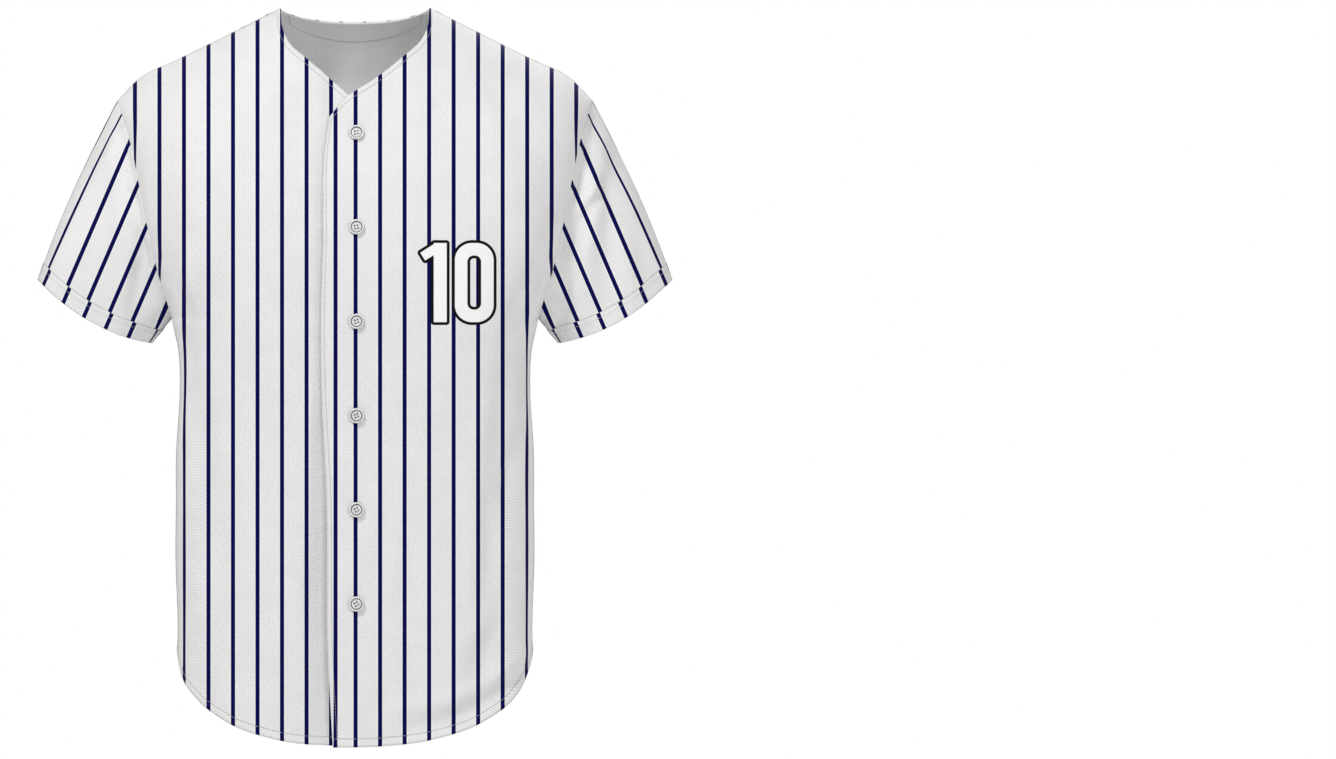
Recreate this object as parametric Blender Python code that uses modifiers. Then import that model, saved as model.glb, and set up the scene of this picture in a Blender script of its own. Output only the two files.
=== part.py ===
"""Hollow short-sleeved button-front baseball jersey, filled out, with a shirt-tail hem."""
import math

import bmesh
import bpy
import numpy as np

# Driving dimensions in metres. X runs to the wearer's left, the front faces -Y, Z is up.
# The origin is the middle of the neck at the height of the shoulders' neck points.
WALL = 0.0015
SEAM_GAP = 0.0003
SEAM_REACH_MAX = 0.0009
LAP_GAP = 0.0009
SIGHT_DISTANCE = 4.0
SIGHT_HEIGHT = -0.381
NECK_HALF = 0.077
SHOULDER_TIP = (0.2445, -0.095)
ARMPIT_Z = -0.319
SIDE_HEM_Z = -0.665
SHOULDER_ROLL = 0.092
ROLL_POWER = 1.8
BODY_POWER = 3.6
ARMHOLE_FULLNESS = 0.028
NECK_DOME = 0.024
NECK_FAN = 0.024
CUFF_OUTER = (0.3265, -0.280)
CUFF_UNDER = (0.2095, -0.345)
CUFF_HALF_DEPTH = 0.056
CUFF_BOW = 0.013
SLEEVE_FULLNESS = 0.005
FACING_DROP = 0.025
FACING_WALL = 0.0010
FACING_GAP = 0.0006
BUTTON_DIAMETER = 0.0154
BUTTON_THICKNESS = 0.0032
BUTTON_RIM = 0.0021
BUTTON_WELL = 0.0009
BUTTON_HOLE = 0.0016
BUTTON_HOLE_PITCH = 0.0030
BUTTON_X = 0.0015
BUTTON_TOP_Z = -0.1287
BUTTON_PITCH = 0.0970
BUTTON_COUNT = 6

# Numbers of faces along each piece.
NECK_COLUMNS = 6
SHOULDER_COLUMNS = 11
BODY_ROWS = 13
ARMHOLE_ROWS = 16
SLEEVE_ROWS = 11

# Upright outlines as seen level from SIGHT_DISTANCE: height, half width.
SIDE_SEAM = (
    (-0.665, 0.1835),
    (-0.600, 0.1855),
    (-0.540, 0.1855),
    (-0.480, 0.1845),
    (-0.400, 0.1820),
    (-0.350, 0.1830),
    (-0.319, 0.1890),
)
ARMHOLE = (
    (-0.319, 0.1890),
    (-0.304, 0.1935),
    (-0.269, 0.2040),
    (-0.225, 0.2140),
    (-0.182, 0.2225),
    (-0.139, 0.2315),
    (-0.095, 0.2445),
)

# Shoulder line: distance from the middle, height.
SHOULDER = (
    (0.077, 0.000),
    (0.142, -0.033),
    (0.185, -0.054),
    (0.224, -0.074),
    (0.2445, -0.095),
)

# Neck edges from the middle to the shoulder: share of the edge, distance out, height.
OVER_NECK = (
    (0.00, -0.0265, -0.1120),
    (0.20, -0.0070, -0.0905),
    (0.42, 0.0190, -0.0735),
    (0.66, 0.0480, -0.0510),
    (0.84, 0.0700, -0.0300),
    (0.94, 0.0760, -0.0140),
    (1.00, 0.0770, 0.0000),
)
UNDER_NECK = (
    (0.00, -0.0240, -0.1150),
    (0.20, 0.0020, -0.0925),
    (0.42, 0.0220, -0.0745),
    (0.66, 0.0490, -0.0525),
    (0.84, 0.0700, -0.0320),
    (0.94, 0.0760, -0.0140),
    (1.00, 0.0770, 0.0000),
)
BACK_NECK = (
    (0.00, 0.0000, -0.0025),
    (0.50, 0.0385, -0.0025),
    (1.00, 0.0770, 0.0000),
)

# Inner edges of the fronts: height, distance past the middle.
OVER_EDGE = (
    (-0.762, 0.0230),
    (-0.670, 0.0278),
    (-0.500, 0.0295),
    (-0.392, 0.0346),
    (-0.320, 0.0352),
    (-0.240, 0.0330),
    (-0.146, 0.0312),
    (-0.112, 0.0265),
)
UNDER_EDGE = (
    (-0.762, 0.0240),
    (-0.300, 0.0240),
    (-0.115, 0.0240),
)

# Shirt-tail hem: share of the way out, distance out, height.
HEM = (
    (0.00, 0.0000, -0.7620),
    (0.22, 0.0440, -0.7605),
    (0.47, 0.0900, -0.7530),
    (0.72, 0.1370, -0.7340),
    (0.86, 0.1640, -0.7120),
    (0.95, 0.1770, -0.6900),
    (1.00, 0.1835, -0.6650),
)

# Half depth of the body: height, front, back.
DEPTH = (
    (-0.762, 0.121, 0.118),
    (-0.600, 0.121, 0.117),
    (-0.450, 0.121, 0.114),
    (-0.319, 0.127, 0.121),
    (-0.200, 0.121, 0.120),
    (-0.100, 0.096, 0.104),
    (-0.040, 0.080, 0.094),
    (0.000, 0.070, 0.092),
)

# Largest folds: panel, upper end x and z, lower end x and z, half width, height of the cloth.
FOLDS = (
    ("front", -0.171, -0.325, -0.163, -0.420, 0.020, -0.0035),
    ("front", 0.162, -0.330, 0.176, -0.300, 0.016, -0.0030),
    ("front", 0.150, -0.440, 0.146, -0.530, 0.024, -0.0035),
    ("front", 0.172, -0.665, 0.070, -0.740, 0.016, -0.0030),
    ("front", 0.052, -0.150, 0.046, -0.500, 0.022, -0.0020),
    ("front", -0.055, -0.300, -0.058, -0.700, 0.020, -0.0025),
    ("back", 0.128, -0.520, 0.158, -0.640, 0.020, -0.0040),
    ("back", 0.155, -0.360, 0.118, -0.470, 0.020, -0.0035),
    ("back", -0.160, -0.350, -0.120, -0.480, 0.022, -0.0035),
    ("back", -0.095, -0.540, -0.110, -0.680, 0.024, -0.0030),
    ("sleeve", 0.262, -0.215, 0.250, -0.310, 0.013, -0.0060),
    ("sleeve", -0.233, -0.160, -0.216, -0.280, 0.014, -0.0035),
)

CLOTH_COLOR = (0.83, 0.83, 0.82, 1.0)
BUTTON_COLOR = (0.80, 0.80, 0.79, 1.0)


def curve(rows, at, column=1):
    """Smooth curve through the rows: cubic pieces whose slopes come from the neighbouring rows."""
    rows = np.array(rows, float)
    knots = rows[:, 0]
    values = rows[:, column]
    slopes = np.gradient(values, knots)
    left = np.clip(np.searchsorted(knots, at) - 1, 0, len(knots) - 2)
    width = knots[left + 1] - knots[left]
    t = np.clip((at - knots[left]) / width, 0, 1)
    lower = (1 + 2 * t) * (1 - t) ** 2 * values[left] + t * (1 - t) ** 2 * width * slopes[left]
    upper = t * t * (3 - 2 * t) * values[left + 1] - t * t * (1 - t) * width * slopes[left + 1]
    return lower + upper


def half_width(z):
    """Half width of the body at the side seam, and a little past the armhole above the armpit."""
    climb = np.clip((z - ARMPIT_Z) / (SHOULDER_TIP[1] - ARMPIT_Z), 0, 1)
    seam = curve(SIDE_SEAM, np.minimum(z, ARMPIT_Z))
    armhole = curve(ARMHOLE, np.clip(z, ARMPIT_Z, SHOULDER_TIP[1]))
    fuller = armhole * (1 + ARMHOLE_FULLNESS * np.sin(math.pi * climb))
    return np.where(z > ARMPIT_Z, fuller, seam)


def shoulder_height(x):
    """Height of the shoulder line, with a dome across the neck opening."""
    over_neck = NECK_DOME * (1 - (x / NECK_HALF) ** 2)
    return np.where(x < NECK_HALF, over_neck, curve(SHOULDER, np.clip(x, NECK_HALF, SHOULDER_TIP[0])))


def depth(x, z, side):
    """Distance of the cloth in front of (column 1) or behind (column 2) the plane of the seams."""
    across = np.abs(x)
    share = np.clip(across / half_width(z), 0, 1)
    rounding = (1 - share ** BODY_POWER) ** (1 / BODY_POWER)
    fall = np.clip((shoulder_height(across) - z) / SHOULDER_ROLL, 0, 1)
    roll = (1 - (1 - fall) ** ROLL_POWER) ** (1 / ROLL_POWER)
    return curve(DEPTH, np.clip(z, -0.762, 0.0), side) * rounding * roll


def fold_lift(x, z, panel):
    """Sum of the folds on a panel: each is a bell across its line and fades past its ends."""
    lift = np.zeros_like(x)
    for name, x0, z0, x1, z1, half, height in FOLDS:
        if name != panel:
            continue
        run = math.hypot(x1 - x0, z1 - z0)
        along = ((x - x0) * (x1 - x0) + (z - z0) * (z1 - z0)) / run
        off = ((x - x0) * (z1 - z0) - (z - z0) * (x1 - x0)) / run
        past = np.maximum(0, np.maximum(-along, along - run))
        lift += height * np.exp(-(off / half) ** 2 - (past / (1.5 * half)) ** 2)
    return lift


def true_place(x, y, z):
    """Turns an outline as seen from SIGHT_DISTANCE into true size at its own depth."""
    scale = 1 - np.abs(y) / SIGHT_DISTANCE
    return np.stack([x * scale, y, SIGHT_HEIGHT + (z - SIGHT_HEIGHT) * scale], axis=-1)


def body_stations():
    """Shares of the way out, closing up towards the neck point, then even along the rounded side."""
    neck_share = NECK_HALF / SHOULDER_TIP[0]
    share = np.linspace(0, 1, 2001)
    bend = 0.66 * (1 - share ** BODY_POWER) ** (1 / BODY_POWER)
    length = np.concatenate([[0], np.cumsum(np.hypot(np.diff(share), np.diff(bend)))])
    start = np.interp(neck_share, share, length)
    outer = np.interp(np.linspace(start, length[-1], SHOULDER_COLUMNS + 1), length, share)
    even = np.linspace(0, 1, NECK_COLUMNS + 1)[:-1]
    return np.concatenate([neck_share * (1 - (1 - even) ** 1.5), outer])


def row_heights():
    """Heights of the rows at the side: even up the side seam, closer towards armpit and shoulder."""
    seam = np.linspace(SIDE_HEM_Z, ARMPIT_Z, BODY_ROWS + 1)
    turn = (1 - np.cos(np.linspace(0, math.pi, ARMHOLE_ROWS + 1))) / 2
    even = np.linspace(0, 1, ARMHOLE_ROWS + 1)
    armhole = ARMPIT_Z + (SHOULDER_TIP[1] - ARMPIT_Z) * (0.55 * turn + 0.45 * even)
    return np.concatenate([seam, armhole[1:]])


def edge_x(z):
    """Outer edge of a body panel: the side seam, then the armhole."""
    seam = curve(SIDE_SEAM, np.minimum(z, ARMPIT_Z))
    return np.where(z > ARMPIT_Z, curve(ARMHOLE, np.maximum(z, ARMPIT_Z)), seam)


def body_panel(neck, inner_edge, side, hand):
    """Half of a body panel: its four edges blended, then moved out to the depth of the body."""
    share = body_stations()
    neck_share = NECK_HALF / SHOULDER_TIP[0]
    rows = row_heights()
    side_z = rows[:, None]
    side_x = edge_x(side_z)
    v = (side_z - SIDE_HEM_Z) / (SHOULDER_TIP[1] - SIDE_HEM_Z)
    u = share[None, :]

    on_neck = np.clip(share / neck_share, 0, 1)
    top_x = np.where(share < neck_share, curve(neck, on_neck, 1), share * SHOULDER_TIP[0])
    top_z = np.where(share < neck_share, curve(neck, on_neck, 2), curve(SHOULDER, top_x))
    hem_x = curve(HEM, share, 1)
    hem_z = curve(HEM, share, 2)
    middle_z = hem_z[0] + v * (top_z[0] - hem_z[0])
    middle_x = -curve(inner_edge, middle_z) if inner_edge else np.zeros_like(middle_z)
    hem_x = hem_x + (1 - share) ** 2 * middle_x[0]

    x = blend_edges(u, v, hem_x, top_x, middle_x, side_x)
    if side == 1:
        x = x + neck_fan(u, v, neck_share)
    z = blend_edges(u, v, hem_z, top_z, middle_z, side_z)
    y = depth(x, z, side)
    facing = -1 if side == 1 else 1
    return true_place(hand * x, facing * y, z)


def neck_fan(u, v, neck_share):
    """Spreads the columns outwards just below the neck point, where the neck edge runs upright."""
    down = 1 - v
    spread = (1 - np.exp(-down / 0.03)) * np.exp(-down / 0.30)
    near = np.exp(-((u - neck_share) / 0.15) ** 2) * np.minimum(1, u / neck_share)
    return NECK_FAN * spread * near


def blend_edges(u, v, low, high, left, right):
    """Blend of four edges: low and high along u, left and right along v, less the corners."""
    ruled = (1 - v) * low[None, :] + v * high[None, :] + (1 - u) * left + u * right
    corners = (1 - u) * ((1 - v) * low[0] + v * high[0]) + u * ((1 - v) * low[-1] + v * high[-1])
    return ruled - corners


def sleeve(armhole):
    """Sleeve rings from the armhole (armpit, front, shoulder tip, back) down to the bowed cuff."""
    steps = np.linalg.norm(np.diff(armhole, axis=0), axis=1)
    length = np.concatenate([[0], np.cumsum(steps)])
    half = ARMHOLE_ROWS
    first = length[:half + 1] / length[half] * math.pi
    second = math.pi + (length[half:] - length[half]) / (length[-1] - length[half]) * math.pi
    angle = np.concatenate([first, second[1:]])
    hand = math.copysign(1, armhole[half, 0])
    under = np.array(CUFF_UNDER)
    outer = np.array(CUFF_OUTER)
    share = (1 - np.cos(angle)) / 2
    chord = under + (outer - under) * share[:, None]
    drop = CUFF_BOW * np.sin(angle) ** 2
    chord_way = (outer - under) / np.linalg.norm(outer - under)
    cuff_x = chord[:, 0] + drop * chord_way[1] * 0.5
    cuff_z = chord[:, 1] - drop * chord_way[0]
    cuff = true_place(hand * cuff_x, -CUFF_HALF_DEPTH * np.sin(angle), cuff_z)

    w = np.linspace(0, 1, SLEEVE_ROWS + 1)[:, None, None]
    rings = armhole[None] * (1 - w) + cuff[None] * w
    centre = rings[:, :-1].mean(axis=1, keepdims=True)
    outward = rings - centre
    outward /= np.linalg.norm(outward, axis=2, keepdims=True)
    rings = rings + outward * SLEEVE_FULLNESS * share[:, None] * 4 * w * (1 - w)
    lift = fold_lift(rings[..., 0], rings[..., 2], "sleeve")
    front = np.clip(-outward[..., 1] * 2, 0, 1)
    return rings + outward * (lift * front)[..., None]


def face_normals(grid):
    """Normal of each square of a grid, from its diagonals."""
    across = grid[1:, 1:] - grid[:-1, :-1]
    back = grid[1:, :-1] - grid[:-1, 1:]
    normal = np.cross(across, back)
    return normal / np.maximum(np.linalg.norm(normal, axis=2, keepdims=True), 1e-12)


def corner_normals(grid):
    """Sum at each grid point of the normals of the squares that meet there."""
    faces = face_normals(grid)
    total = np.zeros_like(grid)
    total[:-1, :-1] += faces
    total[1:, :-1] += faces
    total[:-1, 1:] += faces
    total[1:, 1:] += faces
    return total


def keys_of(points):
    """Rounded place of each point, the same for points that lie on a shared seam."""
    return [tuple(row) for row in np.round(points.reshape(-1, 3), 7).tolist()]


def shared_normals(grids):
    """Point normals averaged over every panel that meets at a seam point."""
    totals = {}
    for grid in grids.values():
        own = corner_normals(grid)
        own /= np.linalg.norm(own, axis=2, keepdims=True)
        for key, normal in zip(keys_of(grid), own.reshape(-1, 3)):
            totals[key] = totals.get(key, 0) + normal
    result = {}
    for name, grid in grids.items():
        normals = np.array([totals[key] for key in keys_of(grid)]).reshape(grid.shape)
        result[name] = normals / np.linalg.norm(normals, axis=2, keepdims=True)
    return result


def inward_steps(grid, normals, seams):
    """Unit steps from each seam edge into the panel, square to the normal."""
    steps = np.zeros((4,) + grid.shape)
    pairs = {
        "low": (0, (0, slice(None)), (1, slice(None))),
        "high": (1, (-1, slice(None)), (-2, slice(None))),
        "left": (2, (slice(None), 0), (slice(None), 1)),
        "right": (3, (slice(None), -1), (slice(None), -2)),
    }
    for edge in seams:
        layer, rim, inside = pairs[edge[0]]
        step = grid[inside] - grid[rim]
        step = step - normals[rim] * np.sum(step * normals[rim], axis=-1, keepdims=True)
        step /= np.linalg.norm(step, axis=-1, keepdims=True)
        keep = np.zeros(len(step), bool)
        keep[edge[1]] = True
        steps[(layer,) + rim] = np.where(keep[:, None], step, 0)
    return steps


def wall_points(grid, normals, seams, inset=0.0):
    """Outer and inner skins of a wall, drawn back from its seams by half of the seam gap."""
    steps = inward_steps(grid, normals, seams)
    faces = face_normals(grid)
    lean = np.ones(grid.shape[:2])
    for rows, columns in ((slice(0, -1),) * 2, (slice(1, None),) * 2):
        lean[rows, columns] = np.minimum(lean[rows, columns], np.sum(normals[rows, columns] * faces, axis=2))
    lean = np.clip(lean, 0.6, 1)[..., None]
    pull = np.minimum(SEAM_GAP / 2 / lean, SEAM_REACH_MAX)
    outer = grid + steps.sum(axis=0) * pull - normals * inset
    inner = outer - normals * WALL / lean
    return outer, inner


def add_wall(name, outer, inner, closed, material, collection):
    """Closed wall between two skins of the same grid, joined round its free edges."""
    rows, columns = outer.shape[:2]
    used = columns - 1 if closed else columns
    points = np.concatenate([outer[:, :used].reshape(-1, 3), inner[:, :used].reshape(-1, 3)])
    lift = rows * used
    faces = []
    for r in range(rows - 1):
        for c in range(columns - 1):
            a = r * used + c
            b = r * used + (c + 1) % used
            faces.append((a, b, b + used, a + used))
            faces.append((lift + a, lift + a + used, lift + b + used, lift + b))
    rims = []
    for c in range(columns - 1):
        rims.append((c, (c + 1) % used, False))
        top = (rows - 1) * used
        rims.append((top + c, top + (c + 1) % used, True))
    if not closed:
        for r in range(rows - 1):
            rims.append((r * used, (r + 1) * used, True))
            rims.append((r * used + columns - 1, (r + 1) * used + columns - 1, False))
    for a, b, turned in rims:
        faces.append((a, b, lift + b, lift + a) if turned else (b, a, lift + a, lift + b))
    mesh = bpy.data.meshes.new(name)
    mesh.from_pydata(points.tolist(), [], faces)
    mesh.validate()
    shell = bmesh.new()
    shell.from_mesh(mesh)
    bmesh.ops.recalc_face_normals(shell, faces=shell.faces)
    shell.to_mesh(mesh)
    shell.free()
    part = bpy.data.objects.new(name, mesh)
    collection.objects.link(part)
    mesh.materials.append(material)
    mesh.shade_smooth()
    mesh.set_sharp_from_angle(angle=math.radians(40))
    return part


def make_material(name, color, roughness):
    """Plain Principled material for one sub-part."""
    material = bpy.data.materials.new(name)
    material.use_nodes = True
    shader = material.node_tree.nodes["Principled BSDF"]
    shader.inputs["Base Color"].default_value = color
    shader.inputs["Roughness"].default_value = roughness
    return material


def mirrored(grid):
    """Same grid with its columns from the other end."""
    return grid[:, ::-1]


def fold_body(grid, normals, panel):
    """Moves a body panel by its folds, which fade out at the seams."""
    reach = np.abs(grid[..., 0]) / np.abs(grid[..., 0]).max(axis=1, keepdims=True)
    fade = np.clip((1 - reach) * 8, 0, 1)
    lift = fold_lift(grid[..., 0], grid[..., 2], panel) * fade
    return grid + normals * lift[..., None]


def make_body_grids():
    """Grids of all panels and sleeves, whose seam points are shared."""
    over = body_panel(OVER_NECK, OVER_EDGE, 1, 1)
    under = mirrored(body_panel(UNDER_NECK, UNDER_EDGE, 1, -1))
    half = body_panel(BACK_NECK, None, 2, 1)
    other = mirrored(body_panel(BACK_NECK, None, 2, -1))
    back = np.concatenate([other, half[:, 1:]], axis=1)
    armhole_left = np.concatenate([over[BODY_ROWS:, -1], back[:BODY_ROWS - 1:-1, -1][1:]])
    armhole_right = np.concatenate([under[BODY_ROWS:, 0], back[:BODY_ROWS - 1:-1, 0][1:]])
    return {
        "front_left": over,
        "front_right": under,
        "back": mirrored(back),
        "sleeve_left": mirrored(sleeve(armhole_left)),
        "sleeve_right": sleeve(armhole_right),
    }


def lap_inset(grid):
    """How far the under front lies beneath the over front, easing off past the placket edge."""
    past = np.clip((grid[..., 0] + 0.072) / 0.030, 0, 1)
    return ((WALL + LAP_GAP) * past * past * (3 - 2 * past))[..., None]


def add_panels(collection, cloth):
    """Every cloth piece as its own wall."""
    grids = make_body_grids()
    normals = shared_normals(grids)
    shoulder = slice(NECK_COLUMNS, None)
    shoulder_back = slice(0, SHOULDER_COLUMNS + 1)
    every = slice(None)
    seams = {
        "front_left": (("high", shoulder), ("right", every)),
        "front_right": (("high", shoulder_back), ("left", every)),
        "back": (("left", every), ("right", every), ("high", shoulder_back), ("high", slice(-12, None))),
        "sleeve_left": (("low", every),),
        "sleeve_right": (("low", every),),
    }
    walls = {}
    for name, grid in grids.items():
        inset = lap_inset(grid) if name == "front_right" else 0.0
        if not name.startswith("sleeve"):
            grid = fold_body(grid, normals[name], name.split("_")[0])
        outer, inner = wall_points(grid, normals[name], seams[name], inset)
        closed = name.startswith("sleeve")
        add_wall(name, outer, inner, closed, cloth[name], collection)
        walls[name] = (outer, inner)
    return walls, normals


def add_facing(collection, material, inner, normals):
    """Crescent inside the back neck, made from the back wall's inner points moved further in."""
    middle = inner.shape[1] // 2
    reach = NECK_COLUMNS - 1
    columns = slice(middle - reach, middle + reach + 1)
    skin = inner[:, columns]
    normal = normals[:, columns]
    lengths = np.linalg.norm(np.diff(skin[::-1], axis=0), axis=2)
    down = np.concatenate([np.zeros((1, skin.shape[1])), np.cumsum(lengths, axis=0)])
    steps = np.linspace(0.0, 1.0, 5)
    side = np.abs(np.linspace(-1, 1, skin.shape[1]))
    points = np.zeros((len(steps), skin.shape[1], 3))
    ways = np.zeros_like(points)
    for c in range(skin.shape[1]):
        drop = 0.0004 + steps * FACING_DROP * (1 - 0.35 * side[c] ** 2)
        for axis in range(3):
            points[:, c, axis] = np.interp(drop, down[:, c], skin[::-1, c, axis])
            ways[:, c, axis] = np.interp(drop, down[:, c], normal[::-1, c, axis])
    outer = points - ways * FACING_GAP
    add_wall("back_neck_facing", outer, outer - ways * FACING_WALL, False, material, collection)


def add_button(name, place, normal, collection, cutters, material):
    """Turned four-hole button: a profile spun about its axis, its holes cut through the well."""
    radius = BUTTON_DIAMETER / 2
    well = radius - BUTTON_RIM
    floor = BUTTON_THICKNESS - BUTTON_WELL
    profile = (
        (0.0, 0.0),
        (radius * 0.80, 0.0),
        (radius * 0.96, BUTTON_THICKNESS * 0.22),
        (radius, BUTTON_THICKNESS * 0.52),
        (radius * 0.965, BUTTON_THICKNESS * 0.82),
        (radius * 0.875, BUTTON_THICKNESS),
        (well * 1.02, BUTTON_THICKNESS * 0.95),
        (well * 0.90, floor),
        (0.0, floor),
    )
    mesh = bpy.data.meshes.new(name)
    edges = [(i, i + 1) for i in range(len(profile) - 1)]
    mesh.from_pydata([(x, 0.0, z) for x, z in profile], edges, [])
    button = bpy.data.objects.new(name, mesh)
    collection.objects.link(button)
    spin = button.modifiers.new("turned profile", "SCREW")
    spin.angle = 2 * math.pi
    spin.steps = 28
    spin.render_steps = 28
    spin.use_merge_vertices = True
    spin.merge_threshold = 0.00002
    spin.use_normal_calculate = True
    for index in range(4):
        turn = math.radians(45 + 90 * index)
        reach = BUTTON_HOLE_PITCH / math.sqrt(2)
        drill_mesh = bpy.data.meshes.new(name + "_drill")
        drill = bmesh.new()
        bmesh.ops.create_cone(
            drill,
            cap_ends=True,
            segments=10,
            radius1=BUTTON_HOLE / 2,
            radius2=BUTTON_HOLE / 2,
            depth=BUTTON_THICKNESS * 4,
        )
        drill.to_mesh(drill_mesh)
        drill.free()
        cutter = bpy.data.objects.new(name + "_drill", drill_mesh)
        cutters.objects.link(cutter)
        cutter.parent = button
        cutter.location = (reach * math.cos(turn), reach * math.sin(turn), 0.0)
        cutter.hide_render = True
        cutter.display_type = "WIRE"
        hole = button.modifiers.new("hole", "BOOLEAN")
        hole.operation = "DIFFERENCE"
        hole.solver = "EXACT"
        hole.object = cutter
    mesh.materials.append(material)
    button.location = place
    tilt = math.asin(max(-1.0, min(1.0, normal[2])))
    button.rotation_euler = (math.pi / 2 - tilt, 0.0, math.asin(max(-1.0, min(1.0, normal[0]))))
    return button


def add_buttons(collection, cutters, material, outer, normals):
    """Six buttons down the middle of the placket, just clear of the cloth."""
    flat = outer.reshape(-1, 3)
    ways = normals.reshape(-1, 3)
    for index in range(BUTTON_COUNT):
        seen_z = BUTTON_TOP_Z - index * BUTTON_PITCH
        y = -float(depth(np.array(BUTTON_X), np.array(seen_z), 1))
        place = true_place(np.array(BUTTON_X), np.array(y), np.array(seen_z))
        near = np.argsort(np.linalg.norm(flat - place, axis=1))[:4]
        normal = ways[near].mean(axis=0)
        normal /= np.linalg.norm(normal)
        lift = np.max((flat[near] - place) @ normal)
        seat = place + normal * (max(lift, 0.0) + SEAM_GAP + 0.0002)
        add_button("button_" + str(index + 1), seat, normal, collection, cutters, material)


def main():
    """Builds the whole jersey."""
    for item in list(bpy.data.objects):
        bpy.data.objects.remove(item)
    collection = bpy.data.collections.new("jersey")
    cutters = bpy.data.collections.new("cutters")
    bpy.context.scene.collection.children.link(collection)
    bpy.context.scene.collection.children.link(cutters)
    names = ("front_left", "front_right", "back", "sleeve_left", "sleeve_right", "back_neck_facing")
    cloth = {name: make_material(name + "_cloth", CLOTH_COLOR, 0.85) for name in names}
    walls, normals = add_panels(collection, cloth)
    add_facing(collection, cloth["back_neck_facing"], walls["back"][1], normals["back"])
    plastic = make_material("button_plastic", BUTTON_COLOR, 0.25)
    add_buttons(collection, cutters, plastic, walls["front_left"][0], normals["front_left"])


main()
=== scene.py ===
# %% [markdown]
# # A baseball jersey, hollow and filled out as on a wearer
# The jersey is white mesh knit with thin navy stripes. Its measured solids are loaded first. Each
# panel of cloth is then laid over its own solid as a thin shell that has the creases, hems and
# stitches of the real one, and the camera stands where the picture of it was taken.

# %% Load the jersey's solids
import math

import bpy
import numpy as np
from mathutils import Matrix, Vector


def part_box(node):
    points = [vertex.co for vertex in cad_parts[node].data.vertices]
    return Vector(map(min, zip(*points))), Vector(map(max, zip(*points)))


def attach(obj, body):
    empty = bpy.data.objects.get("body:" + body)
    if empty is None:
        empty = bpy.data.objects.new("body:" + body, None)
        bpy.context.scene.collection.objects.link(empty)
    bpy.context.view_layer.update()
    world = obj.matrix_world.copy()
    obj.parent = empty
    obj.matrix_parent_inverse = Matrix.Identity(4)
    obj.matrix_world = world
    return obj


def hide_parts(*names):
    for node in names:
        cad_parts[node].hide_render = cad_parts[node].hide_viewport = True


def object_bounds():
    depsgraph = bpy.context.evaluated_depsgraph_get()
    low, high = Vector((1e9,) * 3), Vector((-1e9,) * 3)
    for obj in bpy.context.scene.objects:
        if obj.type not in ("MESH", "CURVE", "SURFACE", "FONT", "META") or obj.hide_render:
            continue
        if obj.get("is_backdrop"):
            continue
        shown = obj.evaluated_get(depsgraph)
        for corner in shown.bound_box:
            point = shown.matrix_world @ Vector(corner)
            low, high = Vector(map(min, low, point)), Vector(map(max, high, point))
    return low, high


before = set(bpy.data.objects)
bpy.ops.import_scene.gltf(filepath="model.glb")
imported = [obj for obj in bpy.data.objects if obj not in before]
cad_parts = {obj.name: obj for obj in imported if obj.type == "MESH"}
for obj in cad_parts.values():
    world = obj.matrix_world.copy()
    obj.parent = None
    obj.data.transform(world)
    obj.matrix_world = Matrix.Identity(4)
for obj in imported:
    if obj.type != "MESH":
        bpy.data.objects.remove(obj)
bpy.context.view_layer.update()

# %% [markdown]
# ## The cut
# A maker draws a jersey from a few lengths: how wide it is at the hem, chest and shoulders, and how
# deep the neck and armholes are. X runs to the wearer's left, the front faces -Y, and the origin
# lies between the neck points of the shoulders. Outlines are kept as they look level from
# SIGHT_DISTANCE away, and are turned to true size at their own depth.

# %% Lengths in metres
MM = 0.001
SIGHT_DISTANCE = 4.0
SIGHT_HEIGHT = -0.381
NECK_HALF = 0.077
TIP_X, TIP_Z = 0.2445, -0.095
ARMPIT_Z = -0.319
SIDE_HEM_Z = -0.665
LOWEST_Z = -0.762
SHOULDER_ROLL = 0.092
ROLL_POWER = 1.8
BODY_POWER = 3.6
ARMHOLE_FULLNESS = 0.028
NECK_DOME = 0.024
NECK_FAN = 0.024
CUFF_OUTER = (0.3265, -0.280)
CUFF_UNDER = (0.2095, -0.345)
CUFF_HALF_DEPTH = 0.056
CUFF_BOW = 0.013
SLEEVE_FULLNESS = 0.005
CLOTH = 0.0011
LAP = 0.0024

# %% Upright outlines: height, half width
SIDE_SEAM = (
    (-0.665, 0.1835),
    (-0.600, 0.1855),
    (-0.540, 0.1855),
    (-0.480, 0.1845),
    (-0.400, 0.1820),
    (-0.350, 0.1830),
    (-0.319, 0.1890),
)
ARMHOLE = (
    (-0.319, 0.1890),
    (-0.304, 0.1935),
    (-0.269, 0.2040),
    (-0.225, 0.2140),
    (-0.182, 0.2225),
    (-0.139, 0.2315),
    (-0.095, 0.2445),
)

# %% Shoulder line: distance from the middle, height
SHOULDER = (
    (0.077, 0.000),
    (0.142, -0.033),
    (0.185, -0.054),
    (0.224, -0.074),
    (0.2445, -0.095),
)

# %% Neck edges from the middle to the shoulder: share of the edge, distance out, height
OVER_NECK = (
    (0.00, -0.0265, -0.1120),
    (0.20, -0.0070, -0.0905),
    (0.42, 0.0190, -0.0735),
    (0.66, 0.0480, -0.0510),
    (0.84, 0.0700, -0.0300),
    (0.94, 0.0760, -0.0140),
    (1.00, 0.0770, 0.0000),
)
UNDER_NECK = (
    (0.00, -0.0240, -0.1150),
    (0.20, 0.0020, -0.0925),
    (0.42, 0.0220, -0.0745),
    (0.66, 0.0490, -0.0525),
    (0.84, 0.0700, -0.0320),
    (0.94, 0.0760, -0.0140),
    (1.00, 0.0770, 0.0000),
)
BACK_NECK = (
    (0.00, 0.0000, -0.0025),
    (0.50, 0.0385, -0.0025),
    (1.00, 0.0770, 0.0000),
)

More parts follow.
